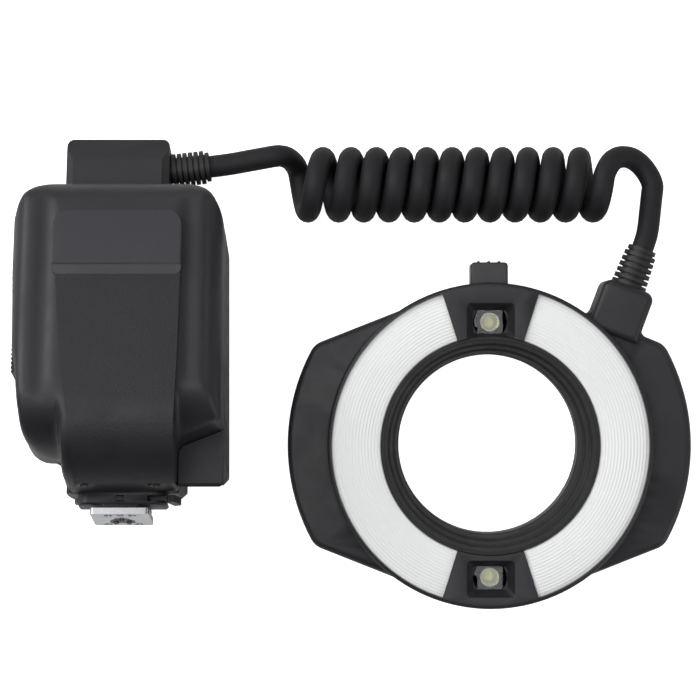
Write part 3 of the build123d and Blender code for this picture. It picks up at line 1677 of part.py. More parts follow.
def coil_point(quarter):
    """Point and way of the helix at a number of quarter turns after its first low point."""
    turns = quarter / 4
    middle = coil_turns - 1
    x = coil_start_x
    x += first_pitch * min(turns, 1)
    x += pitch * min(max(turns - 1, 0), middle - 1)
    x += last_pitch * max(turns - middle, 0)
    here = first_pitch if turns < 1 else last_pitch if turns > middle else pitch
    angle = math.pi - turns * 2 * math.pi
    y = coil_y + coil_radius * math.cos(angle)
    z = coil_height() + coil_radius * math.sin(angle)
    way = Vector(here / (2 * math.pi), coil_radius * math.sin(angle), -coil_radius * math.cos(angle))
    return Vector(x, y, z), way.normalized()


def biarc(start, way_out, end, way_in):
    """Two tangent arcs from one point and way to another."""
    gap = end - start
    sum_way = way_out + way_in
    a = 4 - sum_way.dot(sum_way)
    b = 2 * gap.dot(sum_way)
    c = -gap.dot(gap)
    reach = (-b + math.sqrt(b * b - 4 * a * c)) / (2 * a)
    joint = ((start + way_out * reach) + (end - way_in * reach)) * (1 / 2)
    first = Edge.make_tangent_arc(start, way_out, joint)
    second = Edge.make_tangent_arc(joint, first % 1, end)
    return [first, second]


def curls_stations():
    """Points and ways that the curls pass through, end to end."""
    enter = [Vector(p) for p in curls_enter]
    leave = [Vector(p) for p in curls_leave]
    stations = [(enter[1], (enter[1] - enter[0]).normalized())]
    stations += [coil_point(quarter) for quarter in range(-1, 4 * coil_turns + 2)]
    stations += [(Vector(p), Vector(w).normalized()) for p, w in zip(arch_points, arch_ways)]
    stations.append((leave[0], (leave[1] - leave[0]).normalized()))
    return enter[0], stations, leave[1]


def cord_curls():
    """Curls of the cord as one unbroken tube, with a straight diameter at each end."""
    first, stations, last = curls_stations()
    edges = [Edge.make_line(first, stations[0][0])]
    for (p, u), (q, v) in zip(stations, stations[1:]):
        edges += biarc(p, u, q, v)
    edges.append(Edge.make_line(stations[-1][0], last))
    radii = [edge.radius for edge in edges if edge.geom_type == GeomType.CIRCLE]
    path = Wire(edges)
    start = Plane(origin=first, z_dir=edges[0] % 0)
    body = sweep(start * Circle(wire / 2), path=path)
    section = math.pi * (wire / 2) ** 2
    print("curls: length", round(path.length, 1), "tightest bend", round(min(radii), 2), "least gap",
          round(least_gap(edges), 2), "volume over section times length",
          round(body.volume / (section * path.length), 4))
    return body


def least_gap(edges):
    """Least distance between surfaces of two stretches of the tube further apart than two diameters."""
    steps = 4
    points = []
    along = 0
    for edge in edges:
        for step in range(steps):
            points.append((edge @ (step / steps), along + edge.length * step / steps))
        along += edge.length
    least = along
    for i, (p, s) in enumerate(points):
        for q, t in points[i + 1:]:
            if t - s > 3 * wire:
                least = min(least, (q - p).length - wire)
    return least


def all_nodes():
    """Every node's name and the function that makes it."""
    nodes = {
        "ring_rear_housing": ring_rear_housing,
        "ring_front_bezel": ring_front_bezel,
        "mount_ring": mount_ring,
        "opening_sleeve": opening_sleeve,
        "diffuser_left": lambda: diffuser(90),
        "diffuser_right": lambda: diffuser(-90),
        "reflector_left": lambda: reflector(90),
        "reflector_right": lambda: reflector(-90),
        "flash_tube_left": lambda: flash_tube(90),
        "flash_tube_right": lambda: flash_tube(-90),
        "tube_holders": tube_holders,
        "lamp_windows": lamp_windows,
        "lamp_reflectors": lamp_reflectors,
        "lamp_leds": lamp_leds,
        "latch_plate": latch_plate,
        "latch_spring": latch_spring,
        "release_button": release_button,
        "trigger_board": trigger_board,
        "trigger_coils": trigger_coils,
        "ring_screws": ring_screws,
        "ring_cable_boot": ring_cable_boot,
        "front_cover": front_cover,
        "rear_cover": rear_cover,
        "front_panel": front_panel,
        "name_plate": name_plate,
        "battery_door": battery_door,
        "battery_door_pin": battery_door_pin,
        "battery_box": battery_box,
        "batteries": batteries,
        "battery_contacts": battery_contacts,
        "main_board": main_board,
        "main_capacitor": main_capacitor,
        "transformer": transformer,
        "display_window": display_window,
        "display_module": display_module,
        "test_button": test_button,
        "select_dial": select_dial,
        "set_button": set_button,
        "power_switch": power_switch,
        "power_socket": power_socket,
        "socket_cover": socket_cover,
        "cable_plug_housing": cable_plug_housing,
        "controller_cable_boot": controller_cable_boot,
        "foot_plate": foot_plate,
        "foot_base": foot_base,
        "lock_lever": lock_lever,
        "locking_pin": locking_pin,
        "lock_release_button": lock_release_button,
        "contact_insulator": contact_insulator,
        "contact_pins": contact_pins,
        "foot_screws": foot_screws,
        "housing_screws": housing_screws,
        "cord_lead_controller": cord_lead_controller,
        "cord_lead_ring": cord_lead_ring,
        "cord_curls": cord_curls,
    }
    for number, place in enumerate(key_places(), start=1):
        nodes[f"function_button_{number}"] = lambda place=place: function_button(place)
    return nodes


def main():
    os.makedirs("parts", exist_ok=True)
    for name, make in all_nodes().items():
        export_step(make(), f"parts/{name}.step")


if __name__ == "__main__":
    main()
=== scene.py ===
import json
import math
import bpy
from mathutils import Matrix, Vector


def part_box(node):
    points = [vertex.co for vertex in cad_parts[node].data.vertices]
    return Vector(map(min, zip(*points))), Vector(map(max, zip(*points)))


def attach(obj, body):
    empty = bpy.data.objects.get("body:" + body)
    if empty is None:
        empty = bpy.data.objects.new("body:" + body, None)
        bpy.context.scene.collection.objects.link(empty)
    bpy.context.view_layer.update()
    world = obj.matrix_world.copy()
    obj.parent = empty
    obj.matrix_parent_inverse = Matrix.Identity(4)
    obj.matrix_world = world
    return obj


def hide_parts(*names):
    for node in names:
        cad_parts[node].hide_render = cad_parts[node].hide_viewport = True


bl_info = {
    "name": "Macro ring flash",
    "version": (1, 0, 0),
    "blender": (4, 5, 0),
    "location": "3D View > Sidebar > Ring flash",
    "description": "Dresses the frame of a macro ring flash: head, control unit and curly cord",
    "category": "Object",
}

import bmesh
import bpy
from bpy.props import FloatProperty, FloatVectorProperty, IntProperty, PointerProperty
from mathutils import Matrix, Vector
from mathutils.bvhtree import BVHTree

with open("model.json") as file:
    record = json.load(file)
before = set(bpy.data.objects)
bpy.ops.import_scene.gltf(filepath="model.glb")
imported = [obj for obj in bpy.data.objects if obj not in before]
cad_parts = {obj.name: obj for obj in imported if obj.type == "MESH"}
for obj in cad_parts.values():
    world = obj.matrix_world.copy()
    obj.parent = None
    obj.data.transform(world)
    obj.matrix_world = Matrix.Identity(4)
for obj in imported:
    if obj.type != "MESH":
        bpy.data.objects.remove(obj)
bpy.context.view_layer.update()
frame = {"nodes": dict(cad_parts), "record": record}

MM = 0.001

# Camera of the photograph: straight above the flat lay
CAMERA_PLACE = Vector((-0.0453, 0.0309, 0.8))
CAMERA_LENS = 123.9
CAMERA_SENSOR = 36.0
CAMERA_NEAR = 0.01

# The unit's lie on its sloping back: its reference point, the way its front faces and the way up it
LIE = math.radians(15.5)
UNIT_PLACE = Vector((-0.1172, -0.0228, 0.03758))
UNIT_FRONT = Vector((0, math.sin(LIE), math.cos(LIE)))
UNIT_UP = Vector((0, math.cos(LIE), -math.sin(LIE)))

# Two regions of the front shell, each given by its reach across the unit, in depth and in height.
# Round the battery door, where slots and edges stay as they are cut:
DOOR_REGION = ((-math.inf, -0.0275), (-math.inf, 0.0285), (0.043, 0.0985))
# Walls of the slot that the door's pin slides in:
PIN_SLOT = ((-0.0336, -0.0304), (0.0252, 0.0276), (0.0882, 0.0958))
# How far the skin draws back from that slot, so that its cut corners clear the pin
SLOT_EASE = 0.3 * MM
# Share of the way to its neighbours' middle that a point of the skin moves in one round of relaxing
RELAX_SHARE = 0.5

# Softboxes on a dome: name, angle from overhead, angle round from +X, watts
LAMPS = (("overhead", 0, 0, 2.7), ("left", 30, 180, 3.6), ("upper_left", 30, 120, 1.5), ("key", 60, 150, 6.2),
         ("upper", 60, 90, 1.9), ("upper_right", 60, 30, 1.6), ("lower_right", 60, 330, 3.2))
LAMP_SIZE = 0.6
LAMP_DISTANCE = 1.2
LAMP_AIM = Vector((-0.045, 0.03, 0.0))
# Strength of the soft fill from the world, and of the floor's own white to the camera
WORLD_FILL = 0.02
FLOOR_GLOW = 0.95
FLOOR_RADIUS = 1.6
FLOOR_SIDES = 96
# How far the floor lies under the object, so that the two don't share a plane
FLOOR_DROP = 0.05 * MM

# Route of the cord outside its curls, in millimetres
CORD_START = ((-91.01, 90.68, 13.75), (-87.63, 91.06, 13.75), (-83.44, 91.69, 13.65), (-80.1, 92.3, 13.7),
              (-73.0, 93.6, 13.8), (-66.8, 94.7, 13.9), (-62.6, 91.8, 4.1))
CORD_END = ((36.9, 88.0, 21.6), (39.8, 92.9, 18.9), (44.3, 94.1, 15.8), (48.4, 92.7, 13.6), (51.8, 89.0, 12.9),
            (53.7, 84.9, 13.2), (53.3, 82.1, 13.2), (52.55, 74.7, 13.0), (52.19, 71.12, 12.9),
            (51.48, 67.34, 12.8), (50.22, 63.96, 12.8))
# Curls, in millimetres: where their axis starts and lies, their number, and the pitch of the first, middle and last
COIL_START_X = -59.0
COIL_Y = 84.9
COIL_TURNS = 11
COIL_PITCHES = (10.0, 8.25, 9.0)
COIL_STEPS = 16
# The spline cuts inside its points, so the curls' points lie further out, by this factor, and a little higher
COIL_REACH = 1.012
COIL_LIFT = 0.02
# Steps of the cord's line between two points, and half-round steps of its section
CORD_STEPS = 4
CORD_ROUNDNESS = 6

# How near two points are one, on a CAD node's loose triangles and on a new mesh
NODE_WELD = 0.002 * MM
MESH_WELD = 0.001 * MM
# Largest angle between two triangles that make one flat face
FLAT_ANGLE = math.radians(0.4)
# Angles in degrees past which an edge stays sharp, and segments of a rounded edge
NODE_SHARP = 35.0
SKIN_SHARP = 60.0
WINDOW_SHARP = 50.0
PLATE_SHARP = 30.0
EDGE_SEGMENTS = 2
# Points along one rib of the windows, and steps round a window
RIB_POINTS = 4
WINDOW_STEPS = 72
# How near a point lies to the name plate's face, and to the groove's middle, to count as on it
FACE_NEAR = 0.05 * MM
ROW_NEAR = 0.01 * MM

# Noise that drives the finishes: its detail, and the part of its range that is used
NOISE_DETAIL = 3.0
NOISE_RANGE = (0.3, 0.7)
# Mouldings: colour wanders over about 17 mm and gloss over about 7 mm, in noise scale per metre
TINT_SCALE = 60.0
GLOSS_SCALE = 140.0
GLOSS_WANDER = 0.05
# Metals: rolling marks are drawn out along X, and change roughness and height a little
MARK_STRETCH = 0.08
MARK_GLOSS = 0.06
MARK_DEPTH = 0.02 * MM

# The materials by name, once they are made
FINISHES = {}


def linear(code):
    """sRGB hex colour as linear red, green, blue and alpha."""
    parts = [int(code[place:place + 2], 16) / 255 for place in (1, 3, 5)]
    return [c / 12.92 if c <= 0.04045 else ((c + 0.055) / 1.055) ** 2.4 for c in parts] + [1.0]


def colour(name, code, description):
    """Colour property with its default as an sRGB hex value."""
    return FloatVectorProperty(name=name, description=description, subtype="COLOR", size=4, min=0, max=1,
                               default=linear(code))


def length(name, millimetres, description):
    """Length property with its default in millimetres."""
    return FloatProperty(name=name, description=description, subtype="DISTANCE", unit="LENGTH", min=0,
                         precision=5, default=millimetres * MM)


class FlashSizes(bpy.types.PropertyGroup):
    """Sizes of the pieces made here"""
    cord_diameter: length("Cord diameter", 7.2, "Thickness of the cord's jacket")
    coil_radius: length("Curl radius", 8.9, "Radius of the curls to the middle of the cord")
    edge_round: length("Edge rounding", 0.35, "Rounding of the moulded edges")
    small_round: length("Small rounding", 0.15, "Rounding of keys, ribs and metal edges")
    window_inner: length("Window inner radius", 35.4, "Inner radius of the opal windows")
    window_outer: length("Window outer radius", 51.35, "Outer radius of the opal windows")
    window_back: length("Window back", 21.5, "Height of the windows' back face over the table")
    window_edge: length("Window edge", 24.1, "Height of the windows' edges over the table")
    window_margin: length("Window margin", 1.1, "Plain margin round the ribs of the opal windows")
    window_chamfer: length("Window chamfer", 0.3, "Small chamfer along the windows' edges")
    window_start: FloatProperty(name="Window start", description="Angle from the bridge's middle to a window's end",
                                subtype="ANGLE", default=math.radians(17.6))
    ribs: IntProperty(name="Lens ribs", description="Fine concentric ribs on each opal window", default=15,
                      min=1)
    rib_height: length("Lens rib height", 0.16, "Height of the fine ribs on the opal windows")
    skin_step: length("Skin step", 0.6, "Mesh size of the front shell's relaxed skin")
    soft_depth: length("Soft depth", 11.0, "How far in front of the unit's middle plane the soft forms start")
    soft_rounds: IntProperty(name="Soft rounds", description="How often the front shell is relaxed",
                             default=30, min=0)
    groove_height: length("Groove height", 72.75, "Height of the groove above the unit's reference point")
    groove_width: length("Groove width", 0.5, "Half width of the groove in the name plate")
    groove_depth: length("Groove depth", 0.35, "Depth of the groove in the name plate")


class FlashColours(bpy.types.PropertyGroup):
    """Colours of the main finishes"""
    casing: colour("Casing", "#27272B", "Moulded casing of both units")
    panel: colour("Panel", "#232327", "Grained panel on the unit's front")
    plate: colour("Name plate", "#323237", "Bare plate above the panel")
    jacket: colour("Cord jacket", "#1D1D20", "Jacket of the cord")
    rubber: colour("Rubber", "#1B1B1D", "Boots, socket flap and tube holders")
    opal: colour("Opal window", "#F4F6F5", "Windows over the flash tubes")
    steel: colour("Shoe plate", "#B9BBBE", "Stamped steel of the shoe foot")
    gold: colour("Contacts", "#C9A65A", "Gold-plated contacts")
    lamp: colour("Lamp die", "#D8D27A", "Yellow dies of the focus lamps")


# Materials

def add_node(tree, kind, inputs=None, **settings):
    """Adds a node, sets its properties, and fills or links its inputs."""
    made = tree.nodes.new(kind)
    for name, value in settings.items():
        setattr(made, name, value)
    for name, value in (inputs or {}).items():
        if isinstance(value, bpy.types.NodeSocket):
            tree.links.new(value, made.inputs[name])
        else:
            made.inputs[name].default_value = value
    return made


def new_material(name):
    """Empty node material with its output, and object coordinates to draw on."""
    material = bpy.data.materials.new(name)
    material.use_nodes = True
    tree = material.node_tree
    tree.nodes.clear()
    output = add_node(tree, "ShaderNodeOutputMaterial")
    place = add_node(tree, "ShaderNodeTexCoord").outputs["Object"]
    return material, tree, output, place


def close_shader(tree, output, inputs):
    """Principled shader linked to the output."""
    shader = add_node(tree, "ShaderNodeBsdfPrincipled", inputs)
    tree.links.new(shader.outputs["BSDF"], output.inputs["Surface"])


def varied(tree, place, scale, low, high):
    """Noise remapped between two values."""
    noise = add_node(tree, "ShaderNodeTexNoise", {"Vector": place, "Scale": scale, "Detail": NOISE_DETAIL})
    spread = add_node(tree, "ShaderNodeMapRange", {
        "Value": noise.outputs["Fac"], "From Min": NOISE_RANGE[0], "From Max": NOISE_RANGE[1],
        "To Min": low, "To Max": high})
    return spread.outputs["Result"]


def tinted(tree, place, base, scale, share):
    """Base colour that wanders a little lighter and darker."""
    factor = varied(tree, place, scale, 0.0, 1.0)
    dark = [c * (1 - share) for c in base[:3]] + [1.0]
    light = [min(1.0, c * (1 + share)) for c in base[:3]] + [1.0]
    mix = add_node(tree, "ShaderNodeMix", {"Factor": factor, "A": dark, "B": light}, data_type="RGBA")
    return mix.outputs["Result"]


def moulded(name, base, roughness, grain, depth, wander=0.08, gloss=0.5):
    """Plastic or lacquer with a fine skin, its grain and depth in millimetres, and slightly uneven gloss."""
    material, tree, output, place = new_material(name)
    cells = add_node(tree, "ShaderNodeTexVoronoi", {"Vector": place, "Scale": 1 / (grain * MM)},
                     feature="SMOOTH_F1")
    bump = add_node(tree, "ShaderNodeBump", {"Height": cells.outputs["Distance"], "Strength": 1.0,
                                             "Distance": depth * MM})
    close_shader(tree, output, {
        "Base Color": tinted(tree, place, base, TINT_SCALE, wander),
        "Roughness": varied(tree, place, GLOSS_SCALE, roughness - GLOSS_WANDER, roughness + GLOSS_WANDER),
        "Specular IOR Level": gloss,
        "Normal": bump.outputs["Normal"],
    })
    return material


def make_materials():
    """Every finish of the flash, by name."""
    hues = bpy.context.scene.flash_colours
    made = {}
    # ABS with a spark-eroded grain: dull black with a fine sparkle. The real grain, about 0.1 mm, is drawn at 0.5.
    made["casing"] = moulded("grained_abs_casing", hues.casing, 0.46, 0.5, 0.02, gloss=0.38)
    # ABS with a coarser leather-like grain: a flatter, rougher black than the casing round it.
    made["panel"] = moulded("grained_abs_panel", hues.panel, 0.5, 0.6, 0.06, gloss=0.34)
    # Satin ABS plate: the smoothest of the front, it takes the light as one soft sheen.
    made["plate"] = moulded("satin_abs_plate", hues.plate, 0.42, 0.5, 0.03, 0.04, gloss=0.36)
    # Matte ABS inside the opening: ribbed and dark so that it reflects little.
    made["sleeve"] = moulded("matte_abs_sleeve", linear("#131315"), 0.6, 0.5, 0.02)
    # PVC jacket of the cord: smooth, satin, with soft highlights along each curl.
    made["jacket"] = moulded("satin_pvc_jacket", hues.jacket, 0.62, 0.8, 0.008, 0.05, gloss=0.3)
    # Moulded rubber: deep black and dull, with a fine skin.
    made["rubber"] = moulded("moulded_rubber", hues.rubber, 0.55, 0.4, 0.02)
    # Satin ABS keys: small, smooth and a touch brighter on their tops.
    made["keys"] = moulded("satin_abs_keys", linear("#26272A"), 0.4, 0.4, 0.008)
    # Nylon insulator of the shoe: plain, hard and nearly black.
    made["nylon"] = moulded("nylon_insulator", linear("#121213"), 0.45, 0.3, 0.008)
    made["opal"] = opal_material(hues.opal)
    # Stamped and plated steel: pale grey, with faint rolling marks.
    made["steel"] = brushed("stamped_steel", hues.steel, 0.3, 0.25)
    # Vapour-plated plastic: bright and nearly mirror-like behind the windows.
    made["bright"] = brushed("vapour_plated_reflector", linear("#D9DADC"), 0.16, 0.6)
    # Nickel-plated pins: greyer and darker than the bare plate round them.
    made["nickel"] = brushed("nickel_plated_pins", linear("#6E6D69"), 0.3, 0.2)
    # Gold-plated brass: warm, bright contact springs.
    made["gold"] = brushed("gold_plated_brass", hues.gold, 0.22, 0.2)
    # Enamelled copper wire: reddish brown with a soft shine.
    made["copper"] = brushed("enamelled_copper_wire", linear("#A8643A"), 0.3, 0.3)
    # Lacquered steel cells: blue-grey and glossy.
    made["cell"] = moulded("lacquered_steel_cell", linear("#4B4F58"), 0.3, 0.6, 0.005)
    # Shrink sleeve of the capacitor: dark blue and glossy.
    made["sleeving"] = moulded("shrink_sleeve", linear("#23283A"), 0.35, 0.6, 0.01)
    # Black oxide on steel screws: near black with a small hard glint.
    made["oxide"] = moulded("black_oxide_steel", linear("#2A2A2C"), 0.34, 0.3, 0.006)
    made["board"] = board_material()
    made["clear"] = clear_material("clear_polycarbonate", linear("#F2F5F6"), 0.03)
    made["glass"] = clear_material("borosilicate_tube", linear("#EEF2F2"), 0.02)
    # Reflective display: grey-green and smooth under its pane.
    made["screen"] = moulded("reflective_display", linear("#5E6760"), 0.25, 0.5, 0.003)
    # Phosphor die of the focus lamps: flat yellow.
    made["lamp"] = moulded("phosphor_die", hues.lamp, 0.5, 0.2, 0.01)
    return made


def opal_material(base):
    """Opal acrylic: white, softly lit from inside, with a satin skin."""
    material, tree, output, place = new_material("opal_acrylic")
    close_shader(tree, output, {
        "Base Color": tinted(tree, place, base, 40.0, 0.015),
        "Roughness": varied(tree, place, 200.0, 0.3, 0.4),
        "Subsurface Weight": 0.25,
        "Subsurface Radius": (0.002, 0.002, 0.002),
        "Subsurface Scale": 1.0,
        "IOR": 1.49,
    })
    return material


def brushed(name, base, roughness, grain):
    """Metal with fine rolling marks along X, their grain in millimetres."""
    material, tree, output, place = new_material(name)
    stretch = add_node(tree, "ShaderNodeMapping", {"Vector": place, "Scale": (MARK_STRETCH, 1.0, 1.0)})
    marks = varied(tree, stretch.outputs["Vector"], 1 / (grain * MM), -MARK_GLOSS, MARK_GLOSS)
    rough = add_node(tree, "ShaderNodeMath", {0: marks, 1: roughness}, operation="ADD")
    bump = add_node(tree, "ShaderNodeBump", {"Height": marks, "Strength": 1.0, "Distance": MARK_DEPTH})
    close_shader(tree, output, {
        "Base Color": tinted(tree, place, base, 120.0, 0.05),
        "Metallic": 1.0,
        "Roughness": rough.outputs["Value"],
        "Normal": bump.outputs["Normal"],
    })
    return material


def board_material():
    """Glass-fibre board under solder mask: green with a faint weave and lighter copper runs."""
    material, tree, output, place = new_material("solder_masked_board")
    runs = add_node(tree, "ShaderNodeTexBrick", {
        "Vector": place, "Color1": linear("#1F5A3C"), "Color2": linear("#256B47"), "Mortar": linear("#164530"),
        "Scale": 1 / (12 * MM), "Mortar Size": 0.06})
    close_shader(tree, output, {"Base Color": runs.outputs["Color"],
                                "Roughness": varied(tree, place, 300.0, 0.3, 0.42)})
    return material


def clear_material(name, base, roughness):
    """Clear moulded window or tube."""
    material, tree, output, place = new_material(name)
    close_shader(tree, output, {
        "Base Color": tinted(tree, place, base, 80.0, 0.01),
        "Roughness": roughness,
        "Transmission Weight": 1.0,
        "IOR": 1.5,
    })
    return material


# Pieces

def body_of(node):
    """Name of the CAD body that a node belongs to."""
    for body, nodes in frame["record"]["behaviour"]["bodies"].items():
        if node in nodes:
            return body
    raise RuntimeError(f"no body holds {node}")


def finish_piece(shape, name, material, body, rounding=0.0, sharp=NODE_SHARP):
    """Turns a bmesh into a smooth-shaded piece with softened edges, riding on its body."""
    mesh = bpy.data.meshes.new(name)
    shape.to_mesh(mesh)
    shape.free()
    mesh.shade_smooth()
    mesh.set_sharp_from_angle(angle=math.radians(sharp))
    piece = bpy.data.objects.new(name, mesh)
    bpy.context.scene.collection.objects.link(piece)
    mesh.materials.append(material)
    if rounding:
        bevel = piece.modifiers.new("edge_round", "BEVEL")
        bevel.width = rounding
        bevel.segments = EDGE_SEGMENTS
        bevel.limit_method = "ANGLE"
        bevel.angle_limit = math.radians(sharp)
        bevel.harden_normals = True
        bevel.miter_outer = "MITER_ARC"
    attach(piece, body)
    return piece


def node_shape(node):
    """Merged copy of a CAD node's mesh."""
    shape = bmesh.new()
    shape.from_mesh(frame["nodes"][node].data)
    bmesh.ops.remove_doubles(shape, verts=shape.verts, dist=NODE_WELD)
    bmesh.ops.join_triangles(shape, faces=shape.faces, angle_face_threshold=FLAT_ANGLE,
                             angle_shape_threshold=math.pi)
    bmesh.ops.recalc_face_normals(shape, faces=shape.faces)
    return shape


def even_skin(shape, voxel):
    """Evenly meshed skin of a shape, fine enough to be relaxed."""
    mesh = bpy.data.meshes.new("skin")
    shape.to_mesh(mesh)
    shape.free()
    holder = bpy.data.objects.new("skin", mesh)
    bpy.context.scene.collection.objects.link(holder)
    holder.modifiers.new("voxels", "REMESH").voxel_size = voxel
    made = bmesh.new()
    made.from_object(holder, bpy.context.evaluated_depsgraph_get())
    bpy.data.objects.remove(holder)
    bpy.data.meshes.remove(mesh)
    return made


def unit_depth(place):
    """How far a place lies in front of the unit's middle plane, square to its front."""
    return (place - UNIT_PLACE).dot(UNIT_FRONT)


def unit_height(place):
    """How far up the unit a place lies, from the foot towards the plug box."""
    return (place - UNIT_PLACE).dot(UNIT_UP)


def lies_in(place, region):
    """Whether a place lies in a region of the unit, given by its reach across it, in depth and in height."""
    (left, right), (back, front), (low, high) = region
    return (left < place.x - UNIT_PLACE.x < right and back < unit_depth(place) < front
            and low < unit_height(place) < high)


def finishes():
    """The flash's materials, made once."""
    if not FINISHES:
        FINISHES.update(make_materials())
    return FINISHES


def dress_all(table, rounding):
    """Dressed copies that stand for CAD nodes, from a table of node to piece name and finish."""
    made = finishes()
    for node, (name, finish) in table.items():
        piece = finish_piece(node_shape(node), name, made[finish], body_of(node), rounding)
        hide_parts(node)


def paint_all(table):
    """Finishes of the CAD nodes that stay, from a table of node to finish."""
    made = finishes()
    for node, finish in table.items():
        slots = frame["nodes"][node].material_slots
        for slot in slots:
            slot.material = made[finish]
        if not slots:
            frame["nodes"][node].data.materials.append(made[finish])


# Operators

class FLASH_OT_stage(bpy.types.Operator):
    """Make the camera, the pale floor and the soft lights"""
    bl_idname = "flash.stage"
    bl_label = "Stage"

    def execute(self, context):
        scene = context.scene
        camera = bpy.data.objects.new("camera", bpy.data.cameras.new("camera"))
        camera.data.sensor_width = CAMERA_SENSOR
        camera.data.lens = CAMERA_LENS
        camera.data.clip_start = CAMERA_NEAR
        camera.location = CAMERA_PLACE
        scene.collection.objects.link(camera)
        scene.camera = camera
        scene.view_settings.view_transform = "Standard"
        self.light_world(scene)
        self.lay_floor(scene)
        for name, zenith, azimuth, power in LAMPS:
            self.add_lamp(scene, name, math.radians(zenith), math.radians(azimuth), power)
        return {"FINISHED"}

    def light_world(self, scene):
        """Soft ambient light, white where the camera sees past the floor."""
        world = bpy.data.worlds.new("studio")
        scene.world = world
        world.use_nodes = True
        tree = world.node_tree
        tree.nodes.clear()
        rays = add_node(tree, "ShaderNodeLightPath")
        seen = add_node(tree, "ShaderNodeMath", {0: rays.outputs["Is Camera Ray"],
                                                 1: rays.outputs["Is Transmission Ray"]}, operation="MAXIMUM")
        strength = add_node(tree, "ShaderNodeMapRange", {"Value": seen.outputs["Value"], "To Min": WORLD_FILL,
                                                         "To Max": 1.0})
        sky = add_node(tree, "ShaderNodeBackground", {"Color": linear("#FFFFFF"),
                                                      "Strength": strength.outputs["Result"]})
        output = add_node(tree, "ShaderNodeOutputWorld")
        tree.links.new(sky.outputs["Background"], output.inputs["Surface"])

    def lay_floor(self, scene):
        """Round white sweep under the object."""
        shape = bmesh.new()
        bmesh.ops.create_circle(shape, cap_ends=True, segments=FLOOR_SIDES, radius=FLOOR_RADIUS)
        bmesh.ops.translate(shape, verts=shape.verts, vec=(0, 0, -FLOOR_DROP))
        mesh = bpy.data.meshes.new("floor")
        shape.to_mesh(mesh)
        shape.free()
        floor = bpy.data.objects.new("floor", mesh)
        scene.collection.objects.link(floor)
        # White painted table: matte, and white to the camera where no shadow falls.
        material, tree, output, _ = new_material("white_painted_table")
        rays = add_node(tree, "ShaderNodeLightPath")
        matte = add_node(tree, "ShaderNodeBsdfDiffuse", {"Color": linear("#F4F4F4")})
        glow = add_node(tree, "ShaderNodeEmission", {"Color": linear("#FFFFFF"), "Strength": FLOOR_GLOW})
        both = add_node(tree, "ShaderNodeAddShader", {0: matte.outputs["BSDF"], 1: glow.outputs["Emission"]})
        mix = add_node(tree, "ShaderNodeMixShader", {
            0: rays.outputs["Is Camera Ray"], 1: matte.outputs["BSDF"], 2: both.outputs["Shader"]})
        tree.links.new(mix.outputs["Shader"], output.inputs["Surface"])
        mesh.materials.append(material)

    def add_lamp(self, scene, name, zenith, azimuth, power):
        """Square softbox on a dome over the middle of the object, aimed at it."""
        light = bpy.data.lights.new(name, "AREA")
        light.size = LAMP_SIZE
        light.energy = power
        lamp = bpy.data.objects.new(name, light)
        way = Vector((math.sin(zenith) * math.cos(azimuth), math.sin(zenith) * math.sin(azimuth),
                      math.cos(zenith)))
        lamp.location = LAMP_AIM + way * LAMP_DISTANCE
        lamp.rotation_euler = (-way).to_track_quat("-Z", "Y").to_euler()
        scene.collection.objects.link(lamp)


class FLASH_OT_cord(bpy.types.Operator):
    """Lay the curly cord between the two boots"""
    bl_idname = "flash.cord"
    bl_label = "Curly cord"

    def execute(self, context):
        sizes = context.scene.flash_sizes
        points = list(CORD_START) + self.curl_points(sizes) + list(CORD_END)
        curve = bpy.data.curves.new("curly_cord", "CURVE")
        curve.dimensions = "3D"
        line = curve.splines.new("NURBS")
        line.points.add(len(points) - 1)
        for point, place in zip(line.points, points):
            point.co = (*(Vector(place) * MM), 1.0)
        line.order_u = 3
        line.use_endpoint_u = True
        line.resolution_u = CORD_STEPS
        curve.resolution_u = CORD_STEPS
        curve.bevel_depth = sizes.cord_diameter / 2
        curve.bevel_resolution = CORD_ROUNDNESS
        curve.use_fill_caps = True
        cord = bpy.data.objects.new("curly_cord", curve)
        context.scene.collection.objects.link(cord)
        curve.materials.append(finishes()["jacket"])
        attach(cord, "flash")
        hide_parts("cord_curls", "cord_lead_controller", "cord_lead_ring")
        return {"FINISHED"}

    def curl_points(self, sizes):
        """Points of the curls in millimetres, from a quarter turn before the first to one after the last."""
        radius = sizes.coil_radius / MM * COIL_REACH
        height = (sizes.coil_radius + sizes.cord_diameter / 2) / MM + COIL_LIFT
        first, pitch, last = COIL_PITCHES
        quarter = COIL_STEPS // 4
        points = []
        for step in range(-quarter, COIL_STEPS * COIL_TURNS + quarter + 1):
            turns = step / COIL_STEPS
            x = COIL_START_X + first * min(turns, 1) + pitch * min(max(turns - 1, 0), COIL_TURNS - 2)
            x += last * max(turns - COIL_TURNS + 1, 0)
            angle = math.pi - turns * math.tau
            points.append((x, COIL_Y + radius * math.cos(angle), height + radius * math.sin(angle)))
        return points


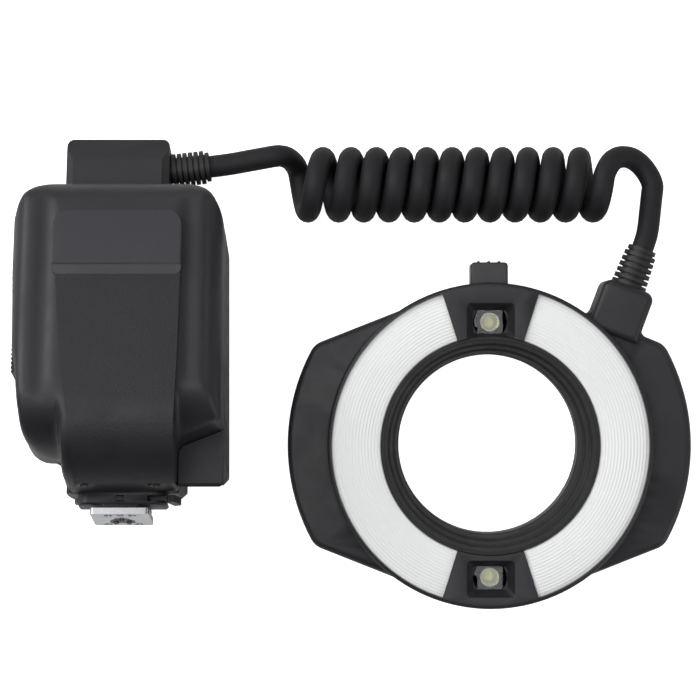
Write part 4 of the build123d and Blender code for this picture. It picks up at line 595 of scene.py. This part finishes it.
class FLASH_OT_head(bpy.types.Operator):
    """Dress the head's mouldings, opening, latch and boot"""
    bl_idname = "flash.head"
    bl_label = "Flash head"

    def execute(self, context):
        sizes = context.scene.flash_sizes
        dress_all({
            "ring_front_bezel": ("bezel_moulding", "casing"),
            "ring_rear_housing": ("head_back_moulding", "casing"),
            "mount_ring": ("lens_ring", "casing"),
            "opening_sleeve": ("opening_funnel", "sleeve"),
            "ring_cable_boot": ("head_cord_boot", "rubber"),
        }, sizes.edge_round)
        dress_all({
            "release_button": ("adapter_release", "keys"),
            "latch_plate": ("adapter_latch", "steel"),
            "ring_screws": ("head_screws", "oxide"),
        }, sizes.small_round)
        paint_all({
            "reflector_left": "bright",
            "reflector_right": "bright",
            "flash_tube_left": "glass",
            "flash_tube_right": "glass",
            "tube_holders": "rubber",
            "latch_spring": "steel",
            "trigger_board": "board",
            "trigger_coils": "copper",
        })
        return {"FINISHED"}


class FLASH_OT_windows(bpy.types.Operator):
    """Turn the two ribbed opal windows"""
    bl_idname = "flash.windows"
    bl_label = "Opal windows"

    def execute(self, context):
        sizes = context.scene.flash_sizes
        for side, start in (("left", 90), ("right", -90)):
            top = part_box(f"diffuser_{side}")[1][2]
            shape = self.ribbed_sector(sizes, math.radians(start), top)
            piece = finish_piece(shape, f"opal_window_{side}", finishes()["opal"], "flash",
                                 sharp=WINDOW_SHARP)
            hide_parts(f"diffuser_{side}")
        return {"FINISHED"}

    def ribbed_sector(self, sizes, start, top):
        """Crowned ring sector whose face carries fine concentric ribs, closed at both ends."""
        inner, outer, cut = sizes.window_inner, sizes.window_outer, sizes.window_chamfer
        crown = top - sizes.rib_height - sizes.window_edge
        shape = bmesh.new()
        steps = sizes.ribs * RIB_POINTS
        places = [(inner, sizes.window_back), (inner, sizes.window_edge - cut)]
        for step in range(steps + 1):
            share = step / steps
            radius = inner + cut + (outer - inner - 2 * cut) * share
            rise = sizes.window_edge + crown * math.sin(math.pi * share)
            if min(radius - inner, outer - radius) > sizes.window_margin:
                rise += sizes.rib_height * (0.5 + 0.5 * math.cos(math.tau * share * sizes.ribs))
            places.append((radius, rise))
        places += [(outer, sizes.window_edge - cut), (outer, sizes.window_back)]
        face = shape.faces.new([shape.verts.new((radius, 0, height)) for radius, height in places])
        bmesh.ops.rotate(shape, verts=shape.verts, cent=(0, 0, 0),
                         matrix=Matrix.Rotation(start + sizes.window_start, 3, "Z"))
        bmesh.ops.spin(shape, geom=[face, *face.edges, *face.verts], cent=(0, 0, 0), axis=(0, 0, 1),
                       angle=math.pi - 2 * sizes.window_start, steps=WINDOW_STEPS, use_merge=False,
                       use_duplicate=False)
        bmesh.ops.remove_doubles(shape, verts=shape.verts, dist=MESH_WELD)
        bmesh.ops.recalc_face_normals(shape, faces=shape.faces)
        return shape


class FLASH_OT_lamps(bpy.types.Operator):
    """Fit the focus lamps: clear windows, bright cups and dies"""
    bl_idname = "flash.lamps"
    bl_label = "Focus lamps"

    def execute(self, context):
        sizes = context.scene.flash_sizes
        dress_all({
            "lamp_windows": ("lamp_covers", "clear"),
            "lamp_reflectors": ("lamp_cups", "bright"),
            "lamp_leds": ("lamp_dies", "lamp"),
        }, sizes.small_round)
        return {"FINISHED"}


class FLASH_OT_casing(bpy.types.Operator):
    """Dress the control unit's casing, panel, name plate and plug box"""
    bl_idname = "flash.casing"
    bl_label = "Control unit casing"

    def execute(self, context):
        sizes = context.scene.flash_sizes
        dress_all({
            "rear_cover": ("rear_shell", "casing"),
            "cable_plug_housing": ("plug_box", "casing"),
            "battery_door": ("battery_lid", "casing"),
            "front_panel": ("grained_front_panel", "panel"),
            "controller_cable_boot": ("unit_cord_boot", "rubber"),
            "socket_cover": ("socket_flap", "rubber"),
        }, sizes.edge_round)
        self.soft_front(sizes)
        self.plate_with_groove(sizes)
        paint_all({
            "battery_box": "casing",
            "batteries": "cell",
            "battery_contacts": "gold",
            "battery_door_pin": "steel",
            "main_board": "board",
            "main_capacitor": "sleeving",
            "transformer": "copper",
            "display_module": "screen",
            "power_socket": "nylon",
        })
        return {"FINISHED"}

    def soft_front(self, sizes):
        """Front shell whose lobes, valleys and chin run softly into each other, as they are moulded."""
        cut = node_shape("front_cover")
        surface = BVHTree.FromBMesh(cut)
        shape = even_skin(cut, sizes.skin_step)
        for vert in shape.verts:
            if lies_in(vert.co, DOOR_REGION):
                vert.co = surface.find_nearest(vert.co)[0]
        shape.normal_update()
        for vert in shape.verts:
            if lies_in(vert.co, PIN_SLOT):
                vert.co -= vert.normal * SLOT_EASE
        front = [vert for vert in shape.verts
                 if unit_depth(vert.co) > sizes.soft_depth and not lies_in(vert.co, DOOR_REGION)]
        for _ in range(sizes.soft_rounds):
            bmesh.ops.smooth_vert(shape, verts=front, factor=RELAX_SHARE,
                                  use_axis_x=True, use_axis_y=True, use_axis_z=True)
        piece = finish_piece(shape, "front_shell", finishes()["casing"], "flash",
                             sharp=SKIN_SHARP)
        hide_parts("front_cover")

    def plate_with_groove(self, sizes):
        """Name plate with the shallow groove where its face ends and its lower bevel starts."""
        shape = node_shape("name_plate")
        middle = sizes.groove_height
        for height in (middle - sizes.groove_width, middle, middle + sizes.groove_width):
            bmesh.ops.bisect_plane(shape, geom=[*shape.verts, *shape.edges, *shape.faces], dist=MESH_WELD,
                                   plane_co=UNIT_PLACE + UNIT_UP * height, plane_no=UNIT_UP)
        face = max(unit_depth(vert.co) for vert in shape.verts) - FACE_NEAR
        sunk = [vert for vert in shape.verts
                if abs(unit_height(vert.co) - middle) < ROW_NEAR
                and unit_depth(vert.co) > face - sizes.groove_depth]
        bmesh.ops.translate(shape, verts=sunk, vec=-UNIT_FRONT * sizes.groove_depth)
        piece = finish_piece(shape, "bare_name_plate", finishes()["plate"], "flash",
                             sizes.small_round, PLATE_SHARP)
        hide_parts("name_plate")


class FLASH_OT_controls(bpy.types.Operator):
    """Dress the keys, dial, switch and display on the unit's back"""
    bl_idname = "flash.controls"
    bl_label = "Rear controls"

    def execute(self, context):
        sizes = context.scene.flash_sizes
        table = {
            "select_dial": ("thumb_wheel", "keys"),
            "set_button": ("wheel_key", "keys"),
            "power_switch": ("power_slider", "keys"),
            "test_button": ("test_key", "keys"),
            "display_window": ("display_pane", "clear"),
        }
        for number in range(1, 5):
            table[f"function_button_{number}"] = (f"menu_key_{number}", "keys")
        dress_all(table, sizes.small_round)
        return {"FINISHED"}


class FLASH_OT_foot(bpy.types.Operator):
    """Dress the shoe foot with its plate, lever, pins and screws"""
    bl_idname = "flash.foot"
    bl_label = "Shoe foot"

    def execute(self, context):
        sizes = context.scene.flash_sizes
        dress_all({
            "foot_base": ("foot_moulding", "casing"),
            "foot_plate": ("shoe_plate", "steel"),
            "contact_insulator": ("shoe_insulator", "nylon"),
            "contact_pins": ("shoe_contacts", "nickel"),
            "lock_lever": ("foot_lock_lever", "casing"),
            "locking_pin": ("foot_lock_pin", "steel"),
            "lock_release_button": ("foot_release_key", "keys"),
            "foot_screws": ("foot_plate_screws", "oxide"),
            "housing_screws": ("casing_screws", "oxide"),
        }, sizes.small_round)
        return {"FINISHED"}


class FLASH_PT_panel(bpy.types.Panel):
    """Lists the steps that make the flash"""
    bl_label = "Macro ring flash"
    bl_idname = "FLASH_PT_panel"
    bl_space_type = "VIEW_3D"
    bl_region_type = "UI"
    bl_category = "Ring flash"

    def draw(self, context):
        for operator in OPERATORS:
            self.layout.operator(operator.bl_idname)
        for group in (context.scene.flash_sizes, context.scene.flash_colours):
            for name in group.bl_rna.properties.keys():
                if name not in ("rna_type", "name"):
                    self.layout.prop(group, name)


OPERATORS = (FLASH_OT_stage, FLASH_OT_cord, FLASH_OT_head, FLASH_OT_windows, FLASH_OT_lamps, FLASH_OT_casing,
             FLASH_OT_controls, FLASH_OT_foot)
CLASSES = (FlashSizes, FlashColours, *OPERATORS, FLASH_PT_panel)


def register():
    for item in CLASSES:
        bpy.utils.register_class(item)
    bpy.types.Scene.flash_sizes = PointerProperty(type=FlashSizes)
    bpy.types.Scene.flash_colours = PointerProperty(type=FlashColours)


def unregister():
    del bpy.types.Scene.flash_colours
    del bpy.types.Scene.flash_sizes
    for item in reversed(CLASSES):
        bpy.utils.unregister_class(item)


def main():
    register()
    for operator in OPERATORS:
        group, name = operator.bl_idname.split(".")
        getattr(getattr(bpy.ops, group), name)()


if __name__ == "__main__":
    main()
